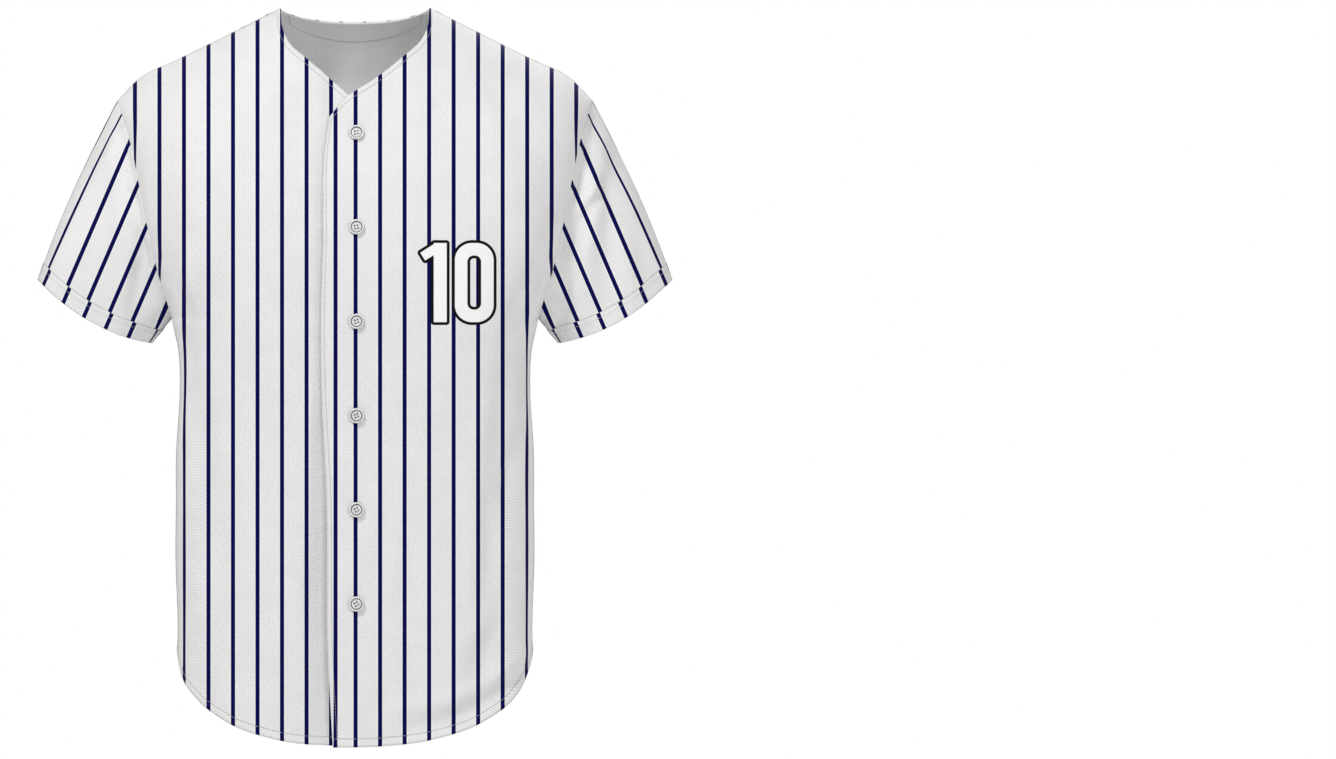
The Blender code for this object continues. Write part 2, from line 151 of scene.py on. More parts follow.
# %% Inner edges of the fronts: height, distance past the middle
OVER_EDGE = (
    (-0.762, 0.0230),
    (-0.670, 0.0278),
    (-0.500, 0.0295),
    (-0.392, 0.0346),
    (-0.320, 0.0352),
    (-0.240, 0.0330),
    (-0.146, 0.0312),
    (-0.112, 0.0265),
)
UNDER_EDGE = (
    (-0.762, 0.0240),
    (-0.300, 0.0240),
    (-0.115, 0.0240),
)

# %% Shirt-tail hem: share of the way out, distance out, height
HEM = (
    (0.00, 0.0000, -0.7620),
    (0.22, 0.0440, -0.7605),
    (0.47, 0.0900, -0.7530),
    (0.72, 0.1370, -0.7340),
    (0.86, 0.1640, -0.7120),
    (0.95, 0.1770, -0.6900),
    (1.00, 0.1835, -0.6650),
)

# %% Half depth of the body: height, front, back
DEPTH = (
    (-0.762, 0.121, 0.118),
    (-0.600, 0.121, 0.117),
    (-0.450, 0.121, 0.114),
    (-0.319, 0.127, 0.121),
    (-0.200, 0.121, 0.120),
    (-0.100, 0.096, 0.104),
    (-0.040, 0.080, 0.094),
    (0.000, 0.070, 0.092),
)

# %% [markdown]
# ## Curves and surfaces
# Each outline is a short table of rows with a smooth curve through them. A body panel is a Coons
# patch: the surface that blends four edge curves, here the hem, the side, the inner edge and the
# neck with the shoulder. That keeps each seam exactly where the solid has it.

# %% A smooth curve through a table


def curve(rows, at, column=1):
    """Cubic pieces through the rows, whose slopes come from the neighbouring rows."""
    rows = np.array(rows, float)
    knots = rows[:, 0]
    values = rows[:, column]
    slopes = np.gradient(values, knots)
    left = np.clip(np.searchsorted(knots, at) - 1, 0, len(knots) - 2)
    width = knots[left + 1] - knots[left]
    t = np.clip((at - knots[left]) / width, 0, 1)
    lower = (1 + 2 * t) * (1 - t) ** 2 * values[left] + t * (1 - t) ** 2 * width * slopes[left]
    upper = t * t * (3 - 2 * t) * values[left + 1] - t * t * (1 - t) * width * slopes[left + 1]
    return lower + upper


def ease(value, low, high):
    """0 below low, 1 above high, and a smooth step 3t^2 - 2t^3 between them."""
    t = np.clip((value - low) / (high - low), 0, 1)
    return t * t * (3 - 2 * t)


print("half width at the chest:", round(float(curve(SIDE_SEAM, -0.35)), 4))

# %% Width and depth of the body


def half_width(z):
    """Side seam below the armpit; above it the armhole, widened by a half sine wave."""
    climb = np.clip((z - ARMPIT_Z) / (TIP_Z - ARMPIT_Z), 0, 1)
    seam = curve(SIDE_SEAM, np.minimum(z, ARMPIT_Z))
    armhole = curve(ARMHOLE, np.clip(z, ARMPIT_Z, TIP_Z))
    return np.where(z > ARMPIT_Z, armhole * (1 + ARMHOLE_FULLNESS * np.sin(math.pi * climb)), seam)


def shoulder_height(x):
    """The shoulder line, with a parabola of height NECK_DOME across the neck opening."""
    over_neck = NECK_DOME * (1 - (x / NECK_HALF) ** 2)
    return np.where(x < NECK_HALF, over_neck, curve(SHOULDER, np.clip(x, NECK_HALF, TIP_X)))


def depth(x, z, side):
    """Half depth b(z), times (1 - (x/a)^n)^(1/n) across, times such an arc at the shoulder."""
    across = np.abs(x)
    share = np.clip(across / half_width(z), 0, 1)
    rounding = (1 - share ** BODY_POWER) ** (1 / BODY_POWER)
    fall = np.clip((shoulder_height(across) - z) / SHOULDER_ROLL, 0, 1)
    roll = (1 - (1 - fall) ** ROLL_POWER) ** (1 / ROLL_POWER)
    return curve(DEPTH, np.clip(z, LOWEST_Z, 0.0), side) * rounding * roll


def true_place(x, y, z):
    """An outline seen from SIGHT_DISTANCE, brought to true size at its own depth."""
    scale = 1 - np.abs(y) / SIGHT_DISTANCE
    return np.stack([x * scale, y, SIGHT_HEIGHT + (z - SIGHT_HEIGHT) * scale], axis=-1)


def as_seen(points):
    """The reverse: x and height as they look level from SIGHT_DISTANCE, front or back."""
    scale = 1 - np.abs(points[..., 1]) / SIGHT_DISTANCE
    return points[..., 0] / scale, SIGHT_HEIGHT + (points[..., 2] - SIGHT_HEIGHT) / scale


def running_length(points):
    """Length down the first axis of points, from its first row."""
    steps = np.linalg.norm(np.diff(points, axis=0), axis=-1)
    return np.concatenate([np.zeros((1,) + steps.shape[1:]), np.cumsum(steps, axis=0)])


# %% Where the rows and columns go
NECK_COLUMNS = 30
SIDE_COLUMNS = 74
SEAM_ROWS = 112
ARMHOLE_ROWS = 124
SLEEVE_ROWS = 72
FINE_STEPS = 6001


def even_shares():
    """Shares of the way out: x = sin(t)^(2/n) of a superellipse, even along its arc."""
    t = np.linspace(0, math.pi / 2, FINE_STEPS)
    share = np.sin(t) ** (2 / BODY_POWER)
    bend = 0.66 * np.cos(t) ** (2 / BODY_POWER)
    length = running_length(np.stack([share, bend], axis=-1))
    neck_share = NECK_HALF / TIP_X
    start = np.interp(neck_share, share, length)
    outer = np.interp(np.linspace(start, length[-1], SIDE_COLUMNS + 1), length, share)
    even = np.linspace(0, 1, NECK_COLUMNS + 1)[:-1]
    return np.concatenate([neck_share * (1 - (1 - even) ** 1.5), outer])


def even_rows():
    """Heights at the side: even up the side seam, then even along the armhole's curve."""
    t = np.linspace(0, 1, FINE_STEPS)
    climb = t ** 3.6 / (t ** 3.6 + (1 - t) ** 1.8)
    z = ARMPIT_Z + (TIP_Z - ARMPIT_Z) * climb
    x = curve(ARMHOLE, z)
    length = running_length(np.stack([x, depth(x, z, 1), z], axis=-1))
    armhole = np.interp(np.linspace(0, length[-1], ARMHOLE_ROWS + 1), length, z)
    seam = np.linspace(SIDE_HEM_Z, ARMPIT_Z, SEAM_ROWS + 1)
    return np.concatenate([seam, armhole[1:]])


# %% Body panels


def blend_edges(u, v, low, high, left, right):
    """Sum of the blends between opposite edges, less the blend of the four corners."""
    ruled = (1 - v) * low[None, :] + v * high[None, :] + (1 - u) * left + u * right
    corners = (1 - u) * ((1 - v) * low[0] + v * high[0]) + u * ((1 - v) * low[-1] + v * high[-1])
    return ruled - corners


def body_half(neck, inner_edge, side, hand):
    """Half a body panel; its rows are even in the middle and follow the armhole at the side."""
    share = even_shares()
    neck_share = NECK_HALF / TIP_X
    u = share[None, :]
    seam_v = ((even_rows() - SIDE_HEM_Z) / (TIP_Z - SIDE_HEM_Z))[:, None]
    even_v = np.linspace(0, 1, len(seam_v))[:, None]
    v = even_v + (seam_v - even_v) * ease(u, 0.5, 1.0)
    side_z = SIDE_HEM_Z + v * (TIP_Z - SIDE_HEM_Z)
    armhole_x = curve(ARMHOLE, np.maximum(side_z, ARMPIT_Z))
    side_x = np.where(side_z > ARMPIT_Z, armhole_x, half_width(side_z))
    on_neck = np.clip(share / neck_share, 0, 1)
    top_x = np.where(share < neck_share, curve(neck, on_neck, 1), share * TIP_X)
    top_z = np.where(share < neck_share, curve(neck, on_neck, 2), curve(SHOULDER, top_x))
    hem_z = curve(HEM, share, 2)
    middle_z = hem_z[0] + v * (top_z[0] - hem_z[0])
    middle_x = -curve(inner_edge, middle_z) if inner_edge else np.zeros_like(middle_z)
    hem_x = curve(HEM, share, 1) + (1 - share) ** 2 * middle_x[0]
    x = blend_edges(u, v, hem_x, top_x, middle_x, side_x)
    z = blend_edges(u, v, hem_z, top_z, middle_z, side_z)
    if side == 1:
        spread = (1 - np.exp(-(1 - v) / 0.03)) * np.exp(-(1 - v) / 0.30)
        bell = np.exp(-((u - neck_share) / 0.15) ** 2) * np.minimum(1, u / neck_share)
        x = x + NECK_FAN * spread * bell
    y = depth(x, z, side) * (-1 if side == 1 else 1)
    return {"place": true_place(hand * x, y, z), "x": hand * x, "z": z, "reach": x / side_x}


# %% Sleeves


def sleeve_grid(armhole):
    """Rings from armhole to bowed oval cuff on straight lines, filled out by 4w(1-w)."""
    half = ARMHOLE_ROWS
    length = running_length(armhole)
    first = length[:half + 1] / length[half] * math.pi
    second = math.pi + (length[half:] - length[half]) / (length[-1] - length[half]) * math.pi
    angle = np.concatenate([first, second[1:]])
    hand = math.copysign(1, armhole[half, 0])
    under = np.array(CUFF_UNDER)
    outer = np.array(CUFF_OUTER)
    share = (1 - np.cos(angle)) / 2
    chord = under + (outer - under) * share[:, None]
    drop = CUFF_BOW * np.sin(angle) ** 2
    way = (outer - under) / np.linalg.norm(outer - under)
    cuff_x = chord[:, 0] + drop * way[1] * 0.5
    cuff_z = chord[:, 1] - drop * way[0]
    cuff = true_place(hand * cuff_x, -CUFF_HALF_DEPTH * np.sin(angle), cuff_z)
    w = np.linspace(0, 1, SLEEVE_ROWS + 1)[:, None, None]
    rings = armhole[None] * (1 - w) + cuff[None] * w
    centre = rings[:, :-1].mean(axis=1, keepdims=True)
    outward = rings - centre
    outward /= np.linalg.norm(outward, axis=2, keepdims=True)
    rings = rings + outward * SLEEVE_FULLNESS * share[:, None] * 4 * w * (1 - w)
    x, z = as_seen(rings)
    return {"place": rings, "x": x, "z": z, "angle": angle}


# %% All five panels


def build_grids():
    """Both fronts, the whole back and both sleeves, sharing the points of their seams."""
    over = body_half(OVER_NECK, OVER_EDGE, 1, 1)
    under = body_half(UNDER_NECK, UNDER_EDGE, 1, -1)
    under = {key: value[:, ::-1] for key, value in under.items()}
    half = body_half(BACK_NECK, None, 2, 1)
    other = body_half(BACK_NECK, None, 2, -1)
    back = {key: np.concatenate([half[key][:, ::-1], other[key][:, 1:]], axis=1) for key in half}
    top = SEAM_ROWS
    left = np.concatenate([over["place"][top:, -1], back["place"][:top - 1:-1, 0][1:]])
    right = np.concatenate([under["place"][top:, 0], back["place"][:top - 1:-1, -1][1:]])
    sleeve_left = sleeve_grid(left)
    for key in ("place", "x", "z"):
        sleeve_left[key] = sleeve_left[key][:, ::-1]
    sleeve_left["angle"] = sleeve_left["angle"][::-1]
    return {
        "front_left": over,
        "front_right": under,
        "back": back,
        "sleeve_left": sleeve_left,
        "sleeve_right": sleeve_grid(right),
    }


def grid_normals(grid):
    """Mean of the normals of the squares round each point, each from its two diagonals."""
    face = np.cross(grid[1:, 1:] - grid[:-1, :-1], grid[1:, :-1] - grid[:-1, 1:])
    face /= np.maximum(np.linalg.norm(face, axis=2, keepdims=True), 1e-14)
    total = np.zeros_like(grid)
    for rows in (slice(0, -1), slice(1, None)):
        for columns in (slice(0, -1), slice(1, None)):
            total[rows, columns] += face
    return total / np.maximum(np.linalg.norm(total, axis=2, keepdims=True), 1e-14)


def shared_normals(grids):
    """Normals averaged over all panels that meet at the same place."""
    places = np.concatenate([grid["place"].reshape(-1, 3) for grid in grids.values()])
    own = np.concatenate([grid_normals(grid["place"]).reshape(-1, 3) for grid in grids.values()])
    _, owner = np.unique(np.round(places, 7), axis=0, return_inverse=True)
    owner = owner.reshape(-1)
    total = np.stack([np.bincount(owner, own[:, axis]) for axis in range(3)], axis=-1)[owner]
    total /= np.maximum(np.linalg.norm(total, axis=1, keepdims=True), 1e-14)
    start = 0
    for grid in grids.values():
        count = grid["x"].size
        grid["normal"] = total[start:start + count].reshape(grid["place"].shape)
        start += count


grids = build_grids()
shared_normals(grids)
for name, grid in grids.items():
    print(name, "grid of", grid["x"].shape)

# %% [markdown]
# ## Creases
# Knit cloth that is filled out still shows soft troughs with a low lip beside them, deepest where a
# seam pulls: at the armpit, down the sleeve, along the placket and above the curved hem. Cloth
# simulation gives other creases on each run of settings. Listing each one keeps the look of
# the real jersey, and lets the hidden sides have the same kind.

# %% Creases on the cloth as seen, in millimetres
# Panel, start x and z, end x and z, sideways bend, half width, height, height of the lip.
CREASES = (
    ("front", -171, -326, -164, -430, 4, 13, -4.2, 1.4),
    ("front", -178, -300, -190, -262, -2, 8, -2.4, 1.0),
    ("front", 164, -330, 180, -296, 0, 10, -3.4, 1.2),
    ("front", 152, -400, 158, -486, 3, 14, -3.8, 1.6),
    ("front", 168, -452, 164, -500, 2, 7, -2.2, 0.8),
    ("front", 138, -520, 146, -600, -3, 12, -3.0, 1.2),
    ("front", 112, -480, 124, -650, 8, 36, -3.0, 0.0),
    ("front", 156, -490, 152, -650, 4, 24, -7.5, 0.0),
    ("front", 182, -676, 62, -742, -14, 11, -4.6, 2.4),
    ("front", 150, -640, 128, -700, 4, 14, -3.0, 1.2),
    ("front", -36, -440, -33, -770, 0, 19, -5.0, 0.8),
    ("front", -40, -130, -44, -400, -4, 13, -3.0, 0.0),
    ("front", 34, -520, 30, -758, 3, 12, -2.0, 0.6),
    ("front", 56, -560, 62, -720, 5, 15, -2.6, 0.9),
    ("front", -98, -430, -112, -660, 8, 26, -3.2, 0.8),
    ("front", -156, -470, -148, -650, -6, 15, -3.0, 1.2),

    ("front", 188, -288, 208, -226, 3, 9, -2.6, 1.2),
    ("front", -150, -112, -198, -220, 8, 20, -3.0, 0.8),
    ("front", 160, -112, 204, -204, -8, 20, -3.4, 0.8),
    ("front", 120, -200, 176, -330, -10, 26, -2.6, 0.0),
    ("front", -110, -240, -160, -340, 8, 24, -2.0, 0.0),
    ("back", 134, -520, 168, -622, 4, 12, -4.6, 2.0),
    ("back", 150, -400, 146, -610, -5, 12, -3.6, 1.6),
    ("back", 158, -356, 116, -470, 6, 15, -4.2, 1.6),
    ("back", 128, -410, 96, -462, 3, 12, -2.4, 1.0),
    ("back", -160, -350, -118, -490, -6, 17, -4.2, 1.3),
    ("back", -95, -540, -112, -690, 5, 22, -3.8, 1.2),
    ("back", -152, -540, -162, -660, 3, 11, -2.8, 1.3),
    ("back", 60, -580, 50, -730, 6, 20, -3.0, 0.8),
    ("back", 2, -420, -6, -700, 8, 34, -3.2, 0.0),
    ("back", 0, -60, 4, -200, 6, 28, -2.0, 0.0),
    ("back", 120, -96, 174, -196, -8, 20, -3.2, 1.0),
    ("back", -120, -96, -174, -196, 8, 20, -3.2, 1.0),
    ("back", 30, -692, -80, -718, 5, 10, -2.4, 1.2),
    ("sleeve front", 276, -136, 265, -300, 4, 15, -8.0, 2.6),
    ("sleeve front", 246, -122, 217, -300, 3, 15, -7.5, 1.6),
    ("sleeve front", 238, -164, 222, -188, 0, 6, -2.6, 1.2),
    ("sleeve front", 254, -194, 224, -254, 5, 8, -4.4, 1.8),
    ("sleeve front", 245, -148, 260, -180, 0, 8, -2.4, 1.0),
    ("sleeve front", 286, -210, 302, -278, -3, 11, -2.8, 1.2),
    ("sleeve front", 222, -262, 216, -320, 2, 8, -3.0, 1.4),
    ("sleeve front", 228, -120, 214, -250, -4, 9, -3.4, 0.0),
    ("sleeve front", -236, -134, -209, -290, -3, 13, -8.0, 1.6),
    ("sleeve front", -256, -256, -256, -310, 2, 10, -2.6, 1.2),
    ("sleeve front", -262, -152, -284, -226, 4, 13, -2.8, 1.0),
    ("sleeve front", -220, -262, -226, -324, 2, 9, -2.8, 1.2),
    ("sleeve back", 252, -166, 230, -266, -4, 12, -4.4, 1.6),
    ("sleeve back", 280, -204, 270, -300, 4, 13, -3.2, 1.2),
    ("sleeve back", 222, -230, 220, -316, 2, 9, -3.0, 1.2),
    ("sleeve back", -250, -162, -226, -256, 4, 12, -4.4, 1.6),
    ("sleeve back", -272, -222, -254, -308, -3, 11, -3.6, 1.4),
    ("sleeve back", -222, -240, -224, -318, 2, 9, -2.8, 1.2),
)


def crease_lift(x, z, panel):
    """Each crease: a bell across its bent line with a lip beside it, fading past both ends."""
    lift = np.zeros_like(x)
    for name, x0, z0, x1, z1, bend, half, height, lip in CREASES:
        if name != panel:
            continue
        dx = (x1 - x0) * MM
        dz = (z1 - z0) * MM
        run = math.hypot(dx, dz)
        along = ((x - x0 * MM) * dx + (z - z0 * MM) * dz) / run
        off = ((x - x0 * MM) * dz - (z - z0 * MM) * dx) / run
        t = np.clip(along / run, 0, 1)
        off = (off - bend * MM * 4 * t * (1 - t)) / (half * MM * (0.75 + 0.5 * t))
        past = np.maximum(0, np.maximum(-along, along - run)) / (2.0 * half * MM)
        strength = MM * np.exp(-past ** 2) * (0.7 + 0.3 * np.sin(math.pi * t))
        lift += strength * (height * np.exp(-off ** 2) + lip * np.exp(-((off - 1.7) / 0.9) ** 2))
    return lift


print(len(CREASES), "creases, the deepest", min(row[7] for row in CREASES), "mm")

# %% Slow waves and puckers
# Slow waves grow towards the hem; puckers are the small ripples that a row of stitches draws up.


def slow_waves(around, z, phase):
    """Sum of three long sine waves round the body, up to a millimetre or two at the hem."""
    hang = 0.35 + 0.65 * ease(-z, 0.30, 0.76)
    first = np.sin(around / 0.034 + 1.3 * np.sin(z / 0.16) + phase)
    second = 0.6 * np.sin(around / 0.019 - z / 0.22 + 2.1 * phase)
    third = 0.5 * np.sin(z / 0.047 + around / 0.11 + 0.7 * phase)
    return 0.85 * MM * hang * (first + second + third)


def pucker(along, from_edge, line, height):
    """Two short sine waves along a stitch row, times a bell across it."""
    wave = np.sin(along / 0.0026) + 0.7 * np.sin(along / 0.0043 + 1.0)
    return height * wave * np.exp(-((from_edge - line) / 0.007) ** 2)


# %% [markdown]
# ## Hems, placket and seams
# A hem is the cloth folded up inside and sewn, so it stands half a millimetre proud and a stitch
# row runs along its top. The wearer's left front laps over the right one, and its edge is a folded
# band, the placket. These steps are small, but they catch the light, so they are real height here.

# %% How far stitch rows run from their edges
CUFF_HEM = 0.0175
CUFF_SECOND = 0.0125
BODY_HEM = 0.0085
PLACKET_EDGE = 0.0048
NECK_EDGE = 0.0062
SHOULDER_EDGE = 0.0031
PROUD = 0.5 * MM


def shape_body(name, grid):
    """Height of a body panel over its plain form: creases, waves, hem, seams and lap."""
    x, z = grid["x"], grid["z"]
    up, across = grid["up"], grid["across"]
    reach = np.abs(grid["reach"])
    panel = "back" if name == "back" else "front"
    sewn = 1 - ease(reach, 0.93, 1.0)
    lift = (crease_lift(x, z, panel) + slow_waves(across, z, 1.7 if panel == "back" else 0.4)) * sewn
    lift += pucker(across, up, BODY_HEM, 0.20 * MM)
    lift += PROUD * (1 - ease(up, BODY_HEM - 0.001, BODY_HEM + 0.001))
    below = ease(-z, 0.34, 0.42)
    lift += below * (0.9 * np.sin(z / 0.041 + 0.6) + 0.5 * np.sin(z / 0.019)) * MM * (1 - sewn)
    lift -= 0.7 * MM * ease(reach, 0.975, 1.0) * ease(-z, 0.33, 0.36)
    if name == "front_left":
        lift += pucker(z, grid["inward"], PLACKET_EDGE, 0.10 * MM)
        lift += 0.8 * MM * np.exp(-((grid["inward"] - 0.003) / 0.004) ** 2)
    if name == "front_right":
        low = ease(-z, 0.34, 0.62)
        from_over_edge = -curve(OVER_EDGE, np.clip(z, LOWEST_Z, OVER_EDGE[-1][0])) - x
        width = 0.009 + 0.020 * low
        lift = lift - (LAP + PROUD + 0.004 * low) * (1 - ease(from_over_edge, 0.0015, width))
        lift = lift - 1.3 * MM * (1 - ease(from_over_edge, 0.0010, 0.0045))
    return lift


def shape_sleeve(grid):
    """Height of a sleeve over its plain form: creases on each face, its hem and its seam."""
    x, z = grid["x"], grid["z"]
    up, across = grid["up"], grid["across"]
    from_seam = grid["down"]
    facing = np.clip(np.sin(grid["angle"]) * 1.6, -1, 1)[None, :]
    creases = crease_lift(x, z, "sleeve front") * np.maximum(facing, 0)
    creases += crease_lift(x, z, "sleeve back") * np.maximum(-facing, 0)
    waves = 0.6 * MM * (np.sin(across / 0.021 + z / 0.05) + np.sin(across / 0.013 - z / 0.08))
    lift = (creases + waves * np.abs(facing)) * ease(from_seam, 0.0, 0.013)
    lift += pucker(across, up, CUFF_HEM, 0.20 * MM)
    lift += PROUD * (1 - ease(up, CUFF_HEM - 0.0012, CUFF_HEM + 0.0012))
    lift -= 0.35 * MM * (1 - ease(from_seam, 0.0, 0.006))
    return lift


def measure_cloth(name, grid):
    """Lengths along the cloth from each edge, on the plain form."""
    place = grid["place"]
    across = running_length(place.transpose(1, 0, 2)).T
    up = running_length(place)
    if name.startswith("sleeve"):
        grid["down"] = up
        grid["up"] = up[-1:] - up
    else:
        grid["up"] = up
        grid["down"] = up[-1:] - up
    grid["across"] = across
    grid["inward"] = across[:, -1:] - across if name == "front_right" else across


for name, grid in grids.items():
    measure_cloth(name, grid)
    lift = shape_sleeve(grid) if name.startswith("sleeve") else shape_body(name, grid)
    grid["outer"] = grid["place"] + grid["normal"] * lift[..., None]
    grid["inner"] = grid["outer"] - grid["normal"] * CLOTH
    print(name, "lifted from %.1f to %.1f mm" % (lift.min() / MM, lift.max() / MM))

# %% [markdown]
# ## Where the stripes run
# The stripes are printed on the knit before it is cut. Over the front they stand upright and evenly
# spaced; round the sides they are spaced along the cloth. Each point of a panel therefore carries
# a UV map with its distance across the stripes and its distance up from the hem, and the material
# needs no picture.

# %% Stripe spacing and the first stripe of each panel
STRIPE_PITCH = 0.02525
BODY_STRIPE = 0.0006
BACK_STRIPE = 0.0103
SLEEVE_STRIPE = 0.1840
SLEEVE_SLANT = math.radians(23.3)
PLACKET_STRIPE_SHIFT = 0.0046
RIDGE_START = 0.38
FULL_WIDTH_DENSITY = 0.64


def body_stripes(name, grid):
    """Distance across: as seen over the flat of the panel, along the cloth round the side."""
    reach = np.abs(grid["reach"])
    creased, _ = as_seen(grid["outer"])
    x = creased + (grid["x"] - creased) * ease(reach, 0.955, 0.985)
    seen = np.diff(x, axis=1)
    arc = np.linalg.norm(np.diff(grid["outer"], axis=1), axis=-1)
    arc = arc * np.sign(x[:, -1:] - x[:, :1])
    below_arm = ease(-(grid["z"][:, 1:] + grid["z"][:, :-1]) / 2, 0.315, 0.345)
    turn = ease((reach[:, 1:] + reach[:, :-1]) / 2, 0.978, 0.994) * below_arm
    run = np.cumsum(seen * (1 - turn) + arc * turn, axis=1)
    run = np.concatenate([np.zeros((len(x), 1)), run], axis=1)
    rows = np.arange(len(x))
    middle = np.argmin(np.abs(x), axis=1)
    count = run + (x[rows, middle] - run[rows, middle])[:, None]
    if name == "front_left":
        count = count - PLACKET_STRIPE_SHIFT * ease(-x, 0.006, 0.012)
    return count - (BACK_STRIPE if name == "back" else BODY_STRIPE)


def sleeve_stripes(grid):
    """Distance across the slant: as seen on each face, even along the cloth at ridge and underarm."""
    turned = grid["angle"][0] > grid["angle"][-1]
    order = slice(None, None, -1) if turned else slice(None)
    points, plain = grid["outer"][:, order], grid["place"][:, order]
    angle = grid["angle"][order]
    x, z = as_seen(points)
    slant = np.abs(x) * math.cos(SLEEVE_SLANT) + z * math.sin(SLEEVE_SLANT)
    arc = running_length(plain.transpose(1, 0, 2)).T
    turn = math.asin(RIDGE_START)
    stops = [turn, math.pi - turn, math.pi + turn, math.tau - turn]
    under_front, front, back, under_back = [int(np.argmin(np.abs(angle - stop))) for stop in stops]
    over_ridge = arc[:, back] - arc[:, front]
    whole = (slant[:, front] + slant[:, back] + over_ridge).mean()
    face = np.where(angle <= math.pi, slant, whole - slant)
    share = (arc - arc[:, [front]]) / over_ridge[:, None]
    even = face[:, [front]] + share * (face[:, [back]] - face[:, [front]])
    below_front = face[:, [under_front]] - (arc[:, [under_front]] - arc)
    below_back = face[:, [under_back]] + (arc - arc[:, [under_back]])
    even = np.where(angle < math.pi / 2, below_front, even)
    even = np.where(angle > 1.5 * math.pi, below_back, even)
    blend = 1 - ease(np.abs(np.sin(angle)), RIDGE_START - 0.18, RIDGE_START + 0.18)
    count = face + (even - face) * blend
    return count[:, order] - SLEEVE_STRIPE


def stripe_density(points, count):
    """Size of the surface gradient of the count, from the first fundamental form of the grid."""
    row_way, column_way = np.gradient(points, axis=(0, 1))
    row_step, column_step = np.gradient(count)
    e = (row_way ** 2).sum(axis=-1)
    f = (row_way * column_way).sum(axis=-1)
    g = (column_way ** 2).sum(axis=-1)
    top = g * row_step ** 2 - 2 * f * row_step * column_step + e * column_step ** 2
    return np.sqrt(np.clip(top / np.maximum(e * g - f * f, 1e-18), 0, 4))


for name, grid in grids.items():
    stripes = sleeve_stripes(grid) if name.startswith("sleeve") else body_stripes(name, grid)
    density = np.clip(stripe_density(grid["place"], stripes), 0.02, 1.0)
    grid["cloth_map"] = np.stack([stripes, grid["up"]], axis=-1)
    grid["seen_map"] = np.stack(as_seen(grid["outer"]), axis=-1)
    grid["trim_map"] = np.stack([grid["inward"], grid["down"]], axis=-1)
    grid["density_map"] = np.stack([density, grid["across"]], axis=-1)
    print(name, "has about", int(np.ptp(stripes) / STRIPE_PITCH), "stripes")

# %% [markdown]
# ## Shader maths
# A material's pattern is sums and products of distances. Written with plain operators these stay
# readable, so a small class wraps a socket, and each operator adds one Math node.

# %% A value in a node tree


class Field:
    """A socket of a node tree, with arithmetic."""

    def __init__(self, tree, socket=None):
        self.tree = tree
        self.socket = socket

    def node(self, kind, settings=None, values=None, output=0):
        """Adds a node, sets its settings and sockets, and returns one of its outputs."""
        made = self.tree.nodes.new(kind)
        for key, value in (settings or {}).items():
            setattr(made, key, value)
        for key, value in (values or {}).items():
            if isinstance(value, Field):
                self.tree.links.new(value.socket, made.inputs[key])
            else:
                made.inputs[key].default_value = value
        return Field(self.tree, made.outputs[output])

    def math(self, operation, other=0.0, third=0.0):
        return self.node("ShaderNodeMath", {"operation": operation}, {0: self, 1: other, 2: third})

    def __add__(self, other):
        return self.math("ADD", other)

    __radd__ = __add__

    def __mul__(self, other):
        return self.math("MULTIPLY", other)

    __rmul__ = __mul__

    def __sub__(self, other):
        return self.math("SUBTRACT", other)

    def __rsub__(self, other):
        return self.math("MULTIPLY", -1.0) + other

    def absolute(self):
        return self.math("ABSOLUTE")

    def lower(self, other):
        return self.math("MINIMUM", other)

    def upper(self, other):
        return self.math("MAXIMUM", other)

    def wrapped(self, pitch):
        """Distance from the nearest multiple of pitch."""
        return self.math("WRAP", pitch / 2, -pitch / 2).absolute()

    def step(self, low, high, start=0.0, end=1.0):
        """Smooth step from start at low to end at high."""
        values = {"Value": self, "From Min": low, "From Max": high, "To Min": start, "To Max": end}
        return self.node("ShaderNodeMapRange", {"interpolation_type": "SMOOTHSTEP"}, values)

    def mix(self, low, high):
        """Colour that goes from low to high as this value goes from 0 to 1."""
        return self.node("ShaderNodeMix", {"data_type": "RGBA"}, {0: self, 6: low, 7: high}, output=2)


def read_map(tree, name):
    """Both numbers of a UV map."""
    uv = Field(tree).node("ShaderNodeUVMap", {"uv_map": name})
    split = uv.node("ShaderNodeSeparateXYZ", None, {0: uv})
    return split, Field(tree, split.socket.node.outputs[1])


def object_place(tree):
    """Object coordinates."""
    return Field(tree).node("ShaderNodeTexCoord", output=3)


def new_material(name, roughness, specular, coat=0.0):
    """Principled material with its constants on the sockets."""
    material = bpy.data.materials.new(name)
    material.use_nodes = True
    shader = material.node_tree.nodes["Principled BSDF"]
    shader.inputs["Roughness"].default_value = roughness
    shader.inputs["Specular IOR Level"].default_value = specular
    shader.inputs["Coat Weight"].default_value = coat
    return material, shader


def finish_material(shader, colour, height, strength, distance):
    """Links the colour, and the height through a bump."""
    tree = shader.id_data
    tree.links.new(colour.socket, shader.inputs["Base Color"])
    values = {"Strength": strength, "Distance": distance, "Height": height}
    bump = height.node("ShaderNodeBump", None, values)
    tree.links.new(bump.socket, shader.inputs["Normal"])
